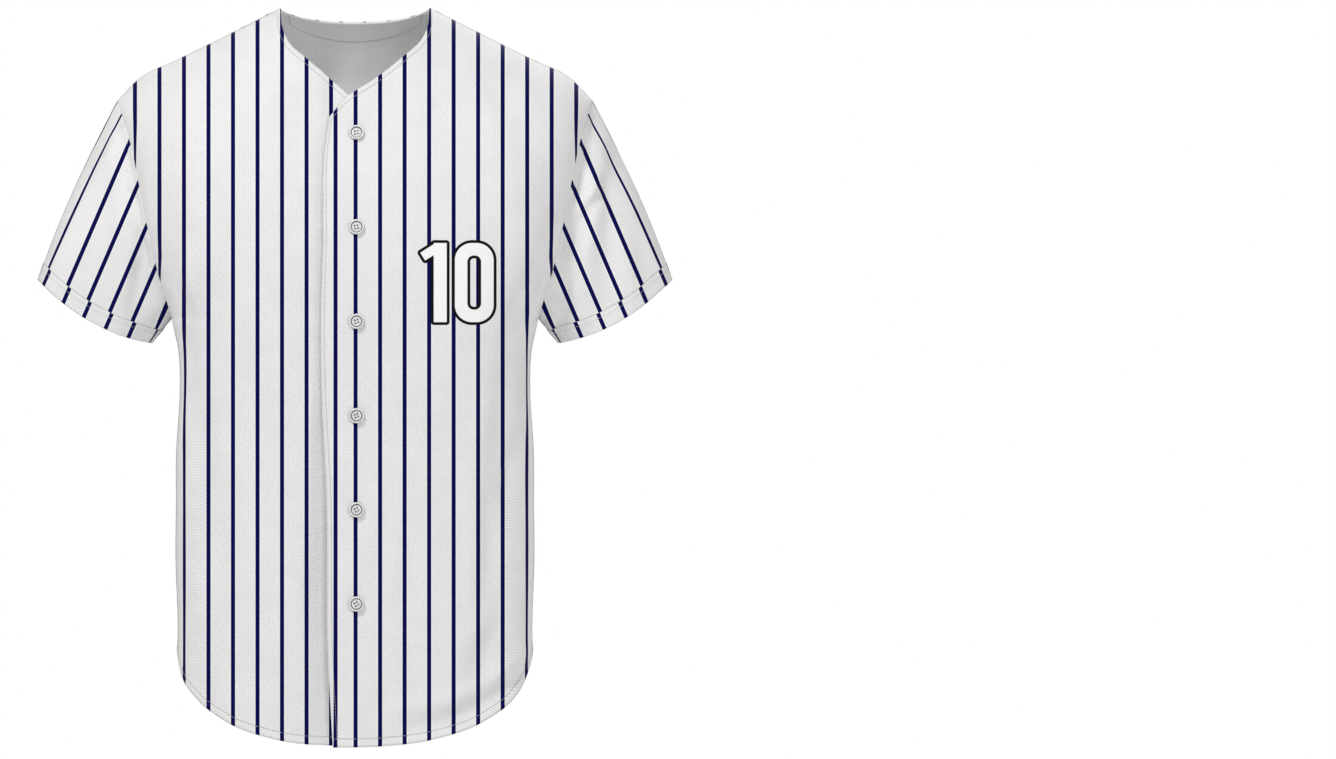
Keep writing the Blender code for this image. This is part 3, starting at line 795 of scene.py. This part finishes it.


# %% [markdown]
# ## Mesh knit, stripes and numerals
# The knit is rows of small eyelets set on the diagonal, two crossed cosines. Stripes, the fold of
# the hem and the grooves of stitch rows are distances on the cloth map; the fold and the grooves are
# also painted grey, as painted shade. The numerals are heat pressed film: plain rounded boxes drawn
# as signed distances, white with a black border.

# %% Colours of the cloth
CLOTH_WHITE = (0.865, 0.865, 0.860, 1.0)
CLOTH_EYELET = (0.600, 0.600, 0.600, 1.0)
CLOTH_BRIGHT = (0.930, 0.930, 0.920, 1.0)
NAVY = (0.0004, 0.0006, 0.070, 1.0)
# Grey mixed into the hem's fold and the stitch grooves: painted shade.
GROOVE_SHADE = (0.50, 0.50, 0.50, 1.0)
# The inner face is painted lighter than the outer face of the same cloth: painted light in the hollow of the
# jersey.
INSIDE_PAINTED_LIGHT = (0.93, 0.93, 0.93, 1.0)
INSIDE_EYELET = (0.80, 0.80, 0.80, 1.0)
PRINT_WHITE = (0.93, 0.93, 0.93, 1.0)
PRINT_BLACK = (0.004, 0.004, 0.004, 1.0)
KNIT_PITCH = 0.0026
STRIPE_WIDTH = 0.0044
HEM_STRIPE_SHIFT = 0.0028
SOFT = 0.0003


def eyelets(across, up):
    """Product of two crossed cosines: 1 in an eyelet of the knit, 0 on the yarn between."""
    turns = math.tau / KNIT_PITCH
    return ((across * turns).math("COSINE") * (up * turns).math("COSINE")).step(0.20, 0.85)


def band(distance, line, half):
    """1 within half of a line, with a soft edge."""
    return (distance - line).absolute().step(half - SOFT, half + SOFT, 1.0, 0.0)


# %% Plain numerals


def rounded_box(x, z, centre, half, corner):
    """Signed distance to a rounded rectangle, negative inside."""
    away_x = (x - centre[0]).absolute() - (half[0] - corner)
    away_z = (z - centre[1]).absolute() - (half[1] - corner)
    out_x = away_x.upper(0.0)
    out_z = away_z.upper(0.0)
    outside = (out_x * out_x + out_z * out_z).math("SQRT")
    return outside + away_x.upper(away_z).lower(0.0) - corner


def numeral_one(x, z, centre, height):
    """Plain 1: an upright bar with a slanted flag at its top left."""
    sharp = 0.0004
    bar_centre = (centre[0] + 0.050 * height, centre[1])
    bar = rounded_box(x, z, bar_centre, (0.082 * height, height / 2), sharp)
    slant = math.radians(32)
    away_x = x - (centre[0] - 0.070 * height)
    away_z = z - (centre[1] + 0.392 * height)
    turned_x = away_x * math.cos(slant) + away_z * math.sin(slant)
    turned_z = away_z * math.cos(slant) - away_x * math.sin(slant)
    flag = rounded_box(turned_x, turned_z, (0.0, 0.0), (0.120 * height, 0.058 * height), sharp)
    return bar.lower(flag)


def numeral_zero(x, z, centre, height):
    """Plain 0: a rounded box less a smaller one."""
    half = (0.245 * height, height / 2)
    stroke = 0.158 * height
    inner = (half[0] - stroke, half[1] - stroke)
    body = rounded_box(x, z, centre, half, half[0] * 0.88)
    hole = rounded_box(x, z, centre, inner, inner[0] * 0.92)
    return body.upper(hole * -1.0)


def print_number(colour, seen_x, seen_z, middle, height, outline, hand):
    """White 10 with a black border, laid over the stripes; also returns where it covers."""
    x = seen_x * hand
    one = numeral_one(x, seen_z, (middle[0] * hand - 0.255 * height, middle[1]), height)
    zero = numeral_zero(x, seen_z, (middle[0] * hand + 0.225 * height, middle[1]), height)
    edge = one.lower(zero)
    black = edge.step(outline - SOFT, outline + SOFT, 1.0, 0.0)
    white = edge.step(-SOFT, SOFT, 1.0, 0.0)
    return white.mix(black.mix(colour, PRINT_BLACK), PRINT_WHITE), black


# %% Outer face of a panel


def jersey_cloth(name, hem_line, hem_shift, rows=(), number=None):
    """Knit with stripes that jump sideways at the hem's fold; rows are stitch grooves, as
    column of the trim map and distance, with painted shade in the fold and the grooves; the number comes last."""
    material, shader = new_material(name, 0.85, 0.10)
    tree = material.node_tree
    across, up = read_map(tree, "cloth")
    seen_x, seen_z = read_map(tree, "seen")
    holes = eyelets(across, up) * read_map(tree, "density")[0].step(0.55, 0.85)
    jump = up.step(hem_line - SOFT, hem_line + SOFT, hem_shift, 0.0)
    off = (across + jump).wrapped(STRIPE_PITCH)
    density = read_map(tree, "density")[0]
    half = (density * (1 / FULL_WIDTH_DENSITY)).lower(1.0) * (STRIPE_WIDTH / 2)
    bright = (off - half).step(0.0005, 0.0011, 1.0, 0.0)
    stripe = (off - half).step(-SOFT, SOFT, 1.0, 0.0)
    place = object_place(tree)
    noise = place.node("ShaderNodeTexNoise", None, {"Vector": place, "Scale": 34.0, "Detail": 2.0})
    shade = noise.step(0.30, 0.70, 0.965, 1.0)
    tone = shade.node("ShaderNodeCombineColor", None, {0: shade, 1: shade, 2: shade})
    colour = bright.mix(holes.mix(CLOTH_WHITE, CLOTH_EYELET), CLOTH_BRIGHT)
    colour = tone.node("ShaderNodeMix", {"data_type": "RGBA", "blend_type": "MULTIPLY"}, {0: 1.0, 6: colour, 7: tone}, output=2)
    colour = stripe.mix(colour, NAVY)
    fold = band(up, hem_line, 0.0006)
    trim = read_map(tree, "trim")
    for column, line in rows:
        fold = fold.upper(band(trim[column], line, 0.0006))
    # Painted shade: the hem's fold and the stitch grooves are mixed about a third of the way to grey.
    colour = (fold * (1.0 - stripe) * 0.35).mix(colour, GROOVE_SHADE)
    height = holes * (1.0 - stripe) * -0.5 - fold * 1.6
    if number:
        colour, printed = print_number(colour, seen_x, seen_z, *number)
        height = height * (1.0 - printed * 0.7) + printed * 0.6
    finish_material(shader, colour, height, 0.6, 0.0003)
    return material


def plain_inside():
    """Unprinted inner face with the same knit, painted lighter than the outer face as painted light in the
    hollow.
    """
    material, shader = new_material("jersey inside", 0.9, 0.08)
    across, up = read_map(material.node_tree, "cloth")
    holes = eyelets(across, up)
    finish_material(shader, holes.mix(INSIDE_PAINTED_LIGHT, INSIDE_EYELET), holes * -1.0, 0.4, 0.0003)
    return material


FRONT_NUMBER = ((0.1045, -0.2828), 0.0815, 0.0030, 1.0)
BACK_NUMBER = ((-0.0057, -0.3027), 0.1790, 0.0033, -1.0)
INWARD, DOWN = 0, 1
NECK_ROW = (DOWN, NECK_EDGE)
PLACKET_ROW = (INWARD, PLACKET_EDGE)
inside = plain_inside()
sleeve_cloth = jersey_cloth("jersey sleeve", CUFF_HEM, HEM_STRIPE_SHIFT)
cloth = {
    "front_left": jersey_cloth("jersey over front", BODY_HEM, 0.0, (NECK_ROW, PLACKET_ROW), FRONT_NUMBER),
    "front_right": jersey_cloth("jersey under front", BODY_HEM, 0.0, (NECK_ROW,)),
    "back": jersey_cloth("jersey back", BODY_HEM, 0.0, (NECK_ROW,), BACK_NUMBER),
    "sleeve_left": sleeve_cloth,
    "sleeve_right": sleeve_cloth,
}
print(len(set(cloth.values())), "printed cloths")

# %% [markdown]
# ## Shells
# Cloth has two faces and an edge. Each panel is one closed shell: the outer skin, the inner skin a
# millimetre behind it and a narrow rim, so it looks right through the neck, the cuffs and the hem.

# %% Faces of a shell


def shell_faces(rows, columns, used):
    """Corner numbers of the outer squares, the inner squares and the rim."""
    r, c = np.meshgrid(np.arange(rows - 1), np.arange(columns - 1), indexing="ij")
    a = (r * used + c).ravel()
    b = (r * used + (c + 1) % used).ravel()
    lift = rows * used
    outer = np.stack([a, b, b + used, a + used], axis=-1)
    inner = np.stack([a, a + used, b + used, b], axis=-1) + lift
    first = np.arange(columns - 1)
    second = (first + 1) % used
    top = (rows - 1) * used
    rims = [np.stack([second, first, first + lift, second + lift], axis=-1)]
    rims.append(np.stack([first, second, second + lift, first + lift], axis=-1) + top)
    if used == columns:
        row = np.arange(rows - 1) * used
        rims.append(np.stack([row, row + used, row + used + lift, row + lift], axis=-1))
        row = row + columns - 1
        rims.append(np.stack([row + used, row, row + lift, row + used + lift], axis=-1))
    return outer, inner, np.concatenate(rims)


def corner_map(values, rows, columns, used, rim):
    """Map values at the corners of every face; a closed ring keeps its own last column."""
    outer = np.stack([values[:-1, :-1], values[:-1, 1:], values[1:, 1:], values[1:, :-1]], axis=2)
    inner = np.stack([values[:-1, :-1], values[1:, :-1], values[1:, 1:], values[:-1, 1:]], axis=2)
    around = values[:, :used].reshape(-1, 2)[rim % (rows * used)]
    return np.concatenate([part.reshape(-1, 2) for part in (outer, inner, around)])


def new_mesh(name, points, faces, materials, slots, smooth):
    """Mesh object from arrays of points and of faces with equally many corners."""
    mesh = bpy.data.meshes.new(name)
    mesh.vertices.add(len(points))
    mesh.vertices.foreach_set("co", points.astype(np.float32).ravel())
    mesh.loops.add(faces.size)
    mesh.loops.foreach_set("vertex_index", faces.astype(np.int32).ravel())
    mesh.polygons.add(len(faces))
    starts = np.arange(0, faces.size, faces.shape[1], dtype=np.int32)
    mesh.polygons.foreach_set("loop_start", starts)
    mesh.polygons.foreach_set("material_index", slots.astype(np.int32))
    mesh.update(calc_edges=True)
    mesh.polygons.foreach_set("use_smooth", smooth.astype(bool))
    for material in materials:
        mesh.materials.append(material)
    piece = bpy.data.objects.new(name, mesh)
    bpy.context.scene.collection.objects.link(piece)
    return piece


def make_shell(name, grid, materials):
    """Closed shell with its cloth map and its seen map."""
    rows, columns = grid["outer"].shape[:2]
    used = columns - 1 if name.startswith("sleeve") else columns
    outer, inner, rim = shell_faces(rows, columns, used)
    points = np.concatenate([grid[key][:, :used].reshape(-1, 3) for key in ("outer", "inner")])
    slots = np.repeat((0, 1, 0), (len(outer), len(inner), len(rim)))
    smooth = np.repeat((1, 1, 0), (len(outer), len(inner), len(rim)))
    piece = new_mesh(name, points, np.concatenate([outer, inner, rim]), materials, slots, smooth)
    for key in ("cloth", "seen", "trim", "density"):
        if key + "_map" not in grid:
            continue
        layer = piece.data.uv_layers.new(name=key)
        corners = corner_map(grid[key + "_map"], rows, columns, used, rim)
        layer.data.foreach_set("uv", corners.astype(np.float32).ravel())
    return piece


def skin_area(grid):
    """Area of the plain form, half the cross product of each square's diagonals."""
    skin = grid["place"]
    cross = np.cross(skin[1:, 1:] - skin[:-1, :-1], skin[1:, :-1] - skin[:-1, 1:])
    return float(np.linalg.norm(cross, axis=2).sum() / 2)


# %% Sizes that the panels are cut to
def level_on_columns(values, level, *fields):
    """Fields where each column's growing values reach a level, by straight lines between rows."""
    above = np.argmax(values >= level, axis=0)
    low = np.maximum(above - 1, 0)
    column = np.broadcast_to(np.arange(values.shape[1]), low.shape)
    span = np.maximum(values[above, column] - values[low, column], 1e-9)
    share = np.clip((level - values[low, column]) / span, 0, 1)[..., None]
    return [field[low, column] * (1 - share) + field[above, column] * share for field in fields]


WIDTH_LEVELS = np.linspace(-0.64, -0.36, 8)


def flat_size(name, grid):
    """Rectangle round the panel laid flat, measured on its plain form. Length is the longest
    column. A body panel's width is its widest level line. A sleeve's width is the base of a
    triangle with half the seam ring as each side and the rise of the cap as its height."""
    columns = running_length(grid["place"])[-1]
    if name.startswith("sleeve"):
        seam = running_length(grid["place"][0])[-1]
        rise = columns.max() - columns.min()
        return 2 * math.sqrt((seam / 2) ** 2 - rise ** 2), float(columns.max())
    lines = [level_on_columns(grid["z"], level, grid["place"])[0] for level in WIDTH_LEVELS]
    return float(max(running_length(line)[-1] for line in lines)), float(columns.max())


# %% Lay the cloth over the solids
for name, grid in grids.items():
    piece = make_shell(name + "_cloth", grid, (cloth[name], inside))
    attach(piece, "root")
    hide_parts(name)
    width, length = flat_size(name, grid)
    area = skin_area(grid)
    print(name, "cut %.3f x %.3f m, %.4f m2" % (width, length, area), len(piece.data.polygons), "faces")

# %% [markdown]
# ## Back neck facing
# A curved strip is sewn inside the back neck to cover the raw edge. It follows the inner skin of the
# back a quarter of a millimetre away, so it is built from that skin's own points.

# %% Facing strip
FACING_DROP = 0.025
FACING_REACH = 0.93
FACING_ROWS = 14


def facing_grid():
    """Rows spaced evenly down from the neck edge, less deep towards the shoulders."""
    top_x = np.abs(grids["back"]["x"][-1])
    keep = np.flatnonzero(top_x <= NECK_HALF * FACING_REACH)
    skin = grids["back"]["inner"][::-1][:, keep]
    way = grids["back"]["normal"][::-1][:, keep]
    down = running_length(skin)
    side = top_x[keep] / NECK_HALF
    drop = FACING_DROP * (1 - 0.35 * side ** 2)
    levels = [drop * share for share in np.linspace(0.03, 1.0, FACING_ROWS)]
    rows = [level_on_columns(down, level, skin, way) for level in levels]
    points = np.stack([row[0] for row in rows])
    ways = np.stack([row[1] for row in rows])
    sink = np.where(np.arange(FACING_ROWS) == FACING_ROWS - 1, 0.02, 0.12)[:, None, None]
    outer = points - ways * sink * MM
    cloth_map = np.stack([points[..., 0], np.stack(levels)], axis=-1)
    return {
        "outer": outer,
        "inner": outer - ways * (sink + 0.23) * MM,
        "place": outer,
        "cloth_map": cloth_map,
        "seen_map": cloth_map,
    }


facing = facing_grid()
facing_piece = make_shell("facing_cloth_strip", facing, (inside, inside))
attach(facing_piece, "root")
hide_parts("back_neck_facing")
strip = facing["place"]
strip_long = float(running_length(strip.transpose(1, 0, 2))[-1].max())
strip_deep = float(running_length(strip)[-1].max())
min(skin_area(facing), strip_long * strip_deep)
print("facing cut %.3f x %.3f m" % (strip_long, strip_deep))
print("facing", len(facing_piece.data.polygons), "faces")

# %% [markdown]
# ## Stitches
# Sewing thread lies on the cloth as short proud dashes. One tiny spindle is repeated along each
# stitch row. The rows are found on the panels as lines of equal distance from an edge, so they
# follow every curve of it.

# %% Rows of stitches
STITCH_PERIOD = 0.0031
STITCH_HALF = 0.00115
THREAD_RADIUS = 0.00021
SPINDLE_SIDES = 6


def thread_material():
    """White sewing thread with a fine twist, painted grey and darkest in the grooves of the twist, as painted
    shade.
    """
    material, shader = new_material("sewing thread", 0.6, 0.3)
    place = object_place(material.node_tree)
    twist = place.node("ShaderNodeTexWave", None, {"Vector": place, "Scale": 700.0})
    # Painted shade: the white thread is coloured grey, darker in the grooves of the twist.
    colour = twist.mix((0.50, 0.50, 0.50, 1.0), (0.72, 0.72, 0.72, 1.0))
    finish_material(shader, colour, twist, 0.2, 0.0001)
    return material


thread = thread_material()


def sew(line, way):
    """Points and faces of spindles spaced evenly along a line, flat on the cloth."""
    length = running_length(line)
    middle = np.arange(STITCH_PERIOD / 2, length[-1], STITCH_PERIOD)

    def at(values, where):
        return np.stack([np.interp(where, length, values[:, k]) for k in range(3)], axis=-1)

    start, end = at(line, middle - STITCH_HALF), at(line, middle + STITCH_HALF)
    along = end - start
    along /= np.linalg.norm(along, axis=1, keepdims=True)
    up = at(way, middle)
    side = np.cross(along, up)
    side /= np.linalg.norm(side, axis=1, keepdims=True)
    up = np.cross(side, along)
    turn = np.arange(SPINDLE_SIDES) * math.tau / SPINDLE_SIDES
    ring = THREAD_RADIUS * (np.cos(turn)[:, None, None] * side + np.sin(turn)[:, None, None] * up)
    centre = (start + end) / 2 + up * THREAD_RADIUS * 0.5
    points = [centre - along * STITCH_HALF]
    points += list(centre - along * STITCH_HALF * 0.6 + ring)
    points += list(centre + along * STITCH_HALF * 0.6 + ring)
    points.append(centre + along * STITCH_HALF)
    a = np.arange(SPINDLE_SIDES)
    b = (a + 1) % SPINDLE_SIDES
    n = SPINDLE_SIDES
    faces = np.concatenate([
        np.stack([a * 0, b + 1, a + 1], axis=-1),
        np.stack([a + 1, b + 1, b + 1 + n], axis=-1),
        np.stack([a + 1, b + 1 + n, a + 1 + n], axis=-1),
        np.stack([a + 1 + n, b + 1 + n, a * 0 + 2 * n + 1], axis=-1),
    ])
    stacked = np.stack(points, axis=1)
    offsets = np.arange(len(middle))[:, None, None] * stacked.shape[1]
    return stacked.reshape(-1, 3), (faces[None] + offsets).reshape(-1, 3)


def stitch_lines(name, grid):
    """The stitch rows of a panel, as lines with their normals."""
    outer, way = grid["outer"], grid["normal"]
    if name.startswith("sleeve"):
        up = grid["up"][::-1]
        return [level_on_columns(up, level, outer[::-1], way[::-1]) for level in (CUFF_HEM, CUFF_SECOND)]
    lines = [level_on_columns(grid["up"], BODY_HEM, outer, way)]
    down = grid["down"][::-1]
    top_x = np.abs(grid["x"][-1])
    for level, keep in ((NECK_EDGE, top_x < NECK_HALF), (SHOULDER_EDGE, top_x > NECK_HALF)):
        columns = np.flatnonzero(keep)
        if name == "back" and level == SHOULDER_EDGE:
            continue
        lines.append(level_on_columns(down[:, columns], level, outer[::-1][:, columns], way[::-1][:, columns]))
    if name == "front_left":
        turned = [values.transpose(1, 0, 2) for values in (outer, way)]
        lines.append([part[:-4] for part in level_on_columns(grid["inward"].T, PLACKET_EDGE, *turned)])
    return lines


for name, grid in grids.items():
    points, faces, count = [], [], 0
    for line, way in stitch_lines(name, grid):
        row_points, row_faces = sew(line, way)
        points.append(row_points)
        faces.append(row_faces + count)
        count += len(row_points)
    faces = np.concatenate(faces)
    flags = np.zeros(len(faces))
    piece = new_mesh(name + "_stitches", np.concatenate(points), faces, (thread,), flags, flags + 1)
    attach(piece, "root")
    print(name, count // (2 * SPINDLE_SIDES + 2), "stitches")

# %% [markdown]
# ## Buttons
# Round glossy buttons with a raised rim, a shallow well and four holes, sewn with two stitches. A
# button is turned on a lathe, so its half section goes through a Screw modifier, and the holes are
# drilled with Booleans.

# %% Button sizes and materials
BUTTON_RADIUS = 0.0077
BUTTON_TALL = 0.0034
BUTTON_X = 0.0015
BUTTON_TOP_Z = -0.1287
BUTTON_PITCH = 0.0970
HOLE_RADIUS = 0.00095
HOLE_REACH = 0.00212
HOLE_TURN = 62
# Grey mixed into the button's recesses and round its outer edge: painted shade.
PLASTIC_SHADE = (0.26, 0.26, 0.26, 1.0)


def button_material():
    """Pearly white plastic, cloudier in places, with painted shade round the outer edge, in the groove, the
    holes and the well.
    """
    material, shader = new_material("button plastic", 0.22, 0.45, coat=0.15)
    place = object_place(material.node_tree)
    noise = place.node("ShaderNodeTexNoise", None, {"Vector": place, "Scale": 240.0, "Detail": 3.0})
    colour = noise.step(0.35, 0.7).mix((0.80, 0.80, 0.80, 1.0), (0.90, 0.90, 0.90, 1.0))
    radius, height = read_map(material.node_tree, "turned")
    # Painted shade: darker round the outer edge, in a ring at the well's groove, in the drilled holes and a
    # little over the whole well.
    edge = radius.step(0.925 * BUTTON_RADIUS, 0.985 * BUTTON_RADIUS)
    well = radius.step(0.68 * BUTTON_RADIUS, 0.72 * BUTTON_RADIUS, 1.0, 0.0)
    drilled = height.step(0.25 * BUTTON_TALL, 0.50 * BUTTON_TALL, 1.0, 0.0) * well
    deep = band(radius, 0.725 * BUTTON_RADIUS, 0.0005).upper(edge).upper(drilled)
    colour = (well * 0.12).mix(colour, PLASTIC_SHADE)
    colour = (deep * 0.75).mix(colour, PLASTIC_SHADE)
    finish_material(shader, colour, noise, 0.05, 0.0001)
    return material


plastic = button_material()


def button_profile():
    """Half section from the axis underneath, round the rim in an arc, down into the well."""
    radius, tall = BUTTON_RADIUS, BUTTON_TALL
    turns = np.linspace(0, math.pi, 15)
    rim_x = radius * (0.855 + 0.145 * np.sin(turns))
    rim_z = tall * (0.55 - 0.45 * np.cos(turns))
    rim = list(zip(rim_x.tolist(), rim_z.tolist()))
    well = [(0.765, 0.92), (0.745, 0.60), (0.735, 0.22), (0.700, 0.18), (0.660, 0.30), (0.630, 0.52), (0.56, 0.56), (0.30, 0.52), (0.0, 0.52)]
    return [(0.0, 0.0), (radius * 0.7, 0.0)] + rim + [(radius * x, tall * z) for x, z in well]


# %% Turn and drill a button


def turned_button(name):
    """Screw of the half section, then four holes cut through it."""
    mesh = bpy.data.meshes.new(name)
    profile = button_profile()
    edges = [(i, i + 1) for i in range(len(profile) - 1)]
    mesh.from_pydata([(x, 0.0, z) for x, z in profile], edges, [])
    mesh.materials.append(plastic)
    button = bpy.data.objects.new(name, mesh)
    bpy.context.scene.collection.objects.link(button)
    spin = button.modifiers.new("turn", "SCREW")
    spin.steps = spin.render_steps = 72
    spin.use_merge_vertices = True
    spin.merge_threshold = 0.00001
    spin.use_normal_calculate = True
    drills = []
    for index in range(4):
        turn = math.radians(HOLE_TURN + 90 * index)
        place = (HOLE_REACH * math.cos(turn), HOLE_REACH * math.sin(turn), 0.0)
        bpy.ops.mesh.primitive_cylinder_add(vertices=24, radius=HOLE_RADIUS, depth=0.02, location=place)
        drills.append(bpy.context.active_object)
        cut = button.modifiers.new("hole", "BOOLEAN")
        cut.operation = "DIFFERENCE"
        cut.object = drills[-1]
    bpy.context.view_layer.update()
    graph = bpy.context.evaluated_depsgraph_get()
    done = bpy.data.meshes.new_from_object(button.evaluated_get(graph))
    button.modifiers.clear()
    button.data = done
    for drill in drills:
        bpy.data.objects.remove(drill)
    done.shade_smooth()
    done.set_sharp_from_angle(angle=math.radians(38))
    spots = np.empty(len(done.vertices) * 3, dtype=np.float32)
    done.vertices.foreach_get("co", spots)
    corners = np.empty(len(done.loops), dtype=np.int32)
    done.loops.foreach_get("vertex_index", corners)
    away = np.hypot(spots[0::3], spots[1::3])[corners]
    layer = done.uv_layers.new(name="turned")
    layer.data.foreach_set("uv", np.stack([away, spots[2::3][corners]], axis=-1).ravel())
    return button


def button_thread(name):
    """Two parallel stitches between the holes, as short round tubes that sink into them."""
    made = bpy.data.curves.new(name, "CURVE")
    made.dimensions = "3D"
    made.bevel_depth = 0.00027
    made.bevel_resolution = 3
    made.use_fill_caps = True
    for first, second in ((0, 1), (3, 2)):
        turns = np.radians([HOLE_TURN + 90 * first, HOLE_TURN + 90 * second])
        share = np.linspace(0, 1, 9)
        x, y = [HOLE_REACH * (f(turns[0]) * (1 - share) + f(turns[1]) * share) for f in (np.cos, np.sin)]
        z = BUTTON_TALL * (0.36 + 0.30 * np.sin(math.pi * share) ** 0.6)
        line = made.splines.new("POLY")
        line.points.add(len(share) - 1)
        line.points.foreach_set("co", np.stack([x, y, z, x * 0 + 1], axis=-1).ravel())
    curve_piece = bpy.data.objects.new(name + "_curve", made)
    bpy.context.scene.collection.objects.link(curve_piece)
    bpy.context.view_layer.update()
    graph = bpy.context.evaluated_depsgraph_get()
    piece = bpy.data.objects.new(name, bpy.data.meshes.new_from_object(curve_piece.evaluated_get(graph)))
    piece.data.materials.append(thread)
    bpy.context.scene.collection.objects.link(piece)
    bpy.data.objects.remove(curve_piece)
    return piece


# %% Sew the buttons on


def cloth_under(seen_z):
    """Mean normal and the points of the over front near a button."""
    grid = grids["front_left"]
    near = np.argmin((grid["x"] - BUTTON_X) ** 2 + (grid["z"] - seen_z) ** 2)
    row, column = np.unravel_index(near, grid["x"].shape)
    patch = (slice(row - 2, row + 3), slice(max(column - 3, 0), column + 4))
    normal = grid["normal"][patch].reshape(-1, 3).mean(axis=0)
    return normal / np.linalg.norm(normal), grid["outer"][patch].reshape(-1, 3)


def settle(piece, centre, normal, spin):
    """Writes place and tilt into the mesh, so that the object itself stays at the origin."""
    side = np.cross((0.0, 0.0, 1.0), normal)
    side /= np.linalg.norm(side)
    rise = np.cross(normal, side)
    matrix = np.eye(4)
    matrix[:3, 0] = side * math.cos(spin) + rise * math.sin(spin)
    matrix[:3, 1] = rise * math.cos(spin) - side * math.sin(spin)
    matrix[:3, 2] = normal
    matrix[:3, 3] = centre
    piece.data.transform(Matrix(matrix.tolist()))


for index in range(6):
    node = "button_" + str(index + 1)
    low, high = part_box(node)
    normal, patch = cloth_under(BUTTON_TOP_Z - index * BUTTON_PITCH)
    centre = (np.array(low) + np.array(high)) / 2
    centre = centre + normal * (np.max((patch - centre) @ normal) + 0.0002)
    button = turned_button(node + "_turned")
    stitches = button_thread(node + "_thread")
    for piece in (button, stitches):
        settle(piece, centre, normal, math.radians(5 * index - 10))
        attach(piece, "root")
    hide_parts(node)
    print(node, "at", np.round(centre, 4), len(button.data.polygons), "faces")

# %% [markdown]
# ## Stage, light and camera
# The jersey hangs in a white surround over a pale floor. One large soft light stands high on the
# left, as in a studio, and a weak one fills the right. The camera is level with the jersey's
# middle, and its lens is shifted so that the jersey fills the left of the frame.

# %% Floor
FLOOR_Z = -1.30
FLOOR_RADIUS = 4.4


def make_floor():
    """Round disc of pale card."""
    place = (0, 0, FLOOR_Z)
    bpy.ops.mesh.primitive_circle_add(vertices=96, radius=FLOOR_RADIUS, fill_type="NGON", location=place)
    floor = bpy.context.active_object
    floor.name = "floor"
    material, shader = new_material("floor", 0.8, 0.2)
    place = object_place(material.node_tree)
    noise = place.node("ShaderNodeTexNoise", None, {"Vector": place, "Scale": 2.0})
    colour = noise.mix((0.80, 0.80, 0.80, 1.0), (0.84, 0.84, 0.84, 1.0))
    finish_material(shader, colour, noise, 0.02, 0.001)
    floor.data.materials.append(material)
    floor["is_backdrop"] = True


make_floor()

# %% Surround and lights
SURROUND = 0.44
KEY = ((-1.5, -2.4, 2.8), 0.7, 82.0)
FILL = ((1.4, -2.9, 0.5), 1.6, 20.0)
REAR = ((1.2, 3.0, 2.2), 1.2, 76.0)
AIM = (0.0, 0.0, -0.38)


def make_surround(strength):
    """White all round: full white to the eye, weaker as light."""
    world = bpy.data.worlds.new("surround")
    world.use_nodes = True
    background = world.node_tree.nodes["Background"]
    background.inputs["Color"].default_value = (1.0, 1.0, 1.0, 1.0)
    path = Field(world.node_tree).node("ShaderNodeLightPath")
    amount = path * (1.0 - strength) + strength
    world.node_tree.links.new(amount.socket, background.inputs["Strength"])
    bpy.context.scene.world = world


def add_light(name, place, size, power):
    """Square area light turned to face the jersey."""
    data = bpy.data.lights.new(name, "AREA")
    data.size = size
    data.energy = power
    lamp = bpy.data.objects.new(name, data)
    bpy.context.scene.collection.objects.link(lamp)
    lamp.location = place
    lamp.rotation_euler = (Vector(AIM) - Vector(place)).to_track_quat("-Z", "Y").to_euler()


make_surround(SURROUND)
add_light("key", *KEY)
add_light("fill", *FILL)
add_light("rear", *REAR)

# %% Camera
FRAME_WIDTH_PX = 1336
JERSEY_MIDDLE_PX = 355
METRES_PER_PX = 0.00103
SENSOR = 36.0


def make_camera():
    """Level camera whose view at the jersey is FRAME_WIDTH_PX * METRES_PER_PX wide."""
    data = bpy.data.cameras.new("camera")
    data.sensor_width = SENSOR
    data.lens = SENSOR * SIGHT_DISTANCE / (FRAME_WIDTH_PX * METRES_PER_PX)
    data.shift_x = (FRAME_WIDTH_PX / 2 - JERSEY_MIDDLE_PX) / FRAME_WIDTH_PX
    camera = bpy.data.objects.new("camera", data)
    bpy.context.scene.collection.objects.link(camera)
    camera.location = (0.0, -SIGHT_DISTANCE, -0.3826)
    camera.rotation_euler = (math.pi / 2, 0.0, 0.0)
    bpy.context.scene.camera = camera
    print("lens %.1f mm, shift %.4f" % (data.lens, data.shift_x))


make_camera()
bpy.context.scene.view_settings.view_transform = "Standard"

# %% Sizes, and finish
low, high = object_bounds()
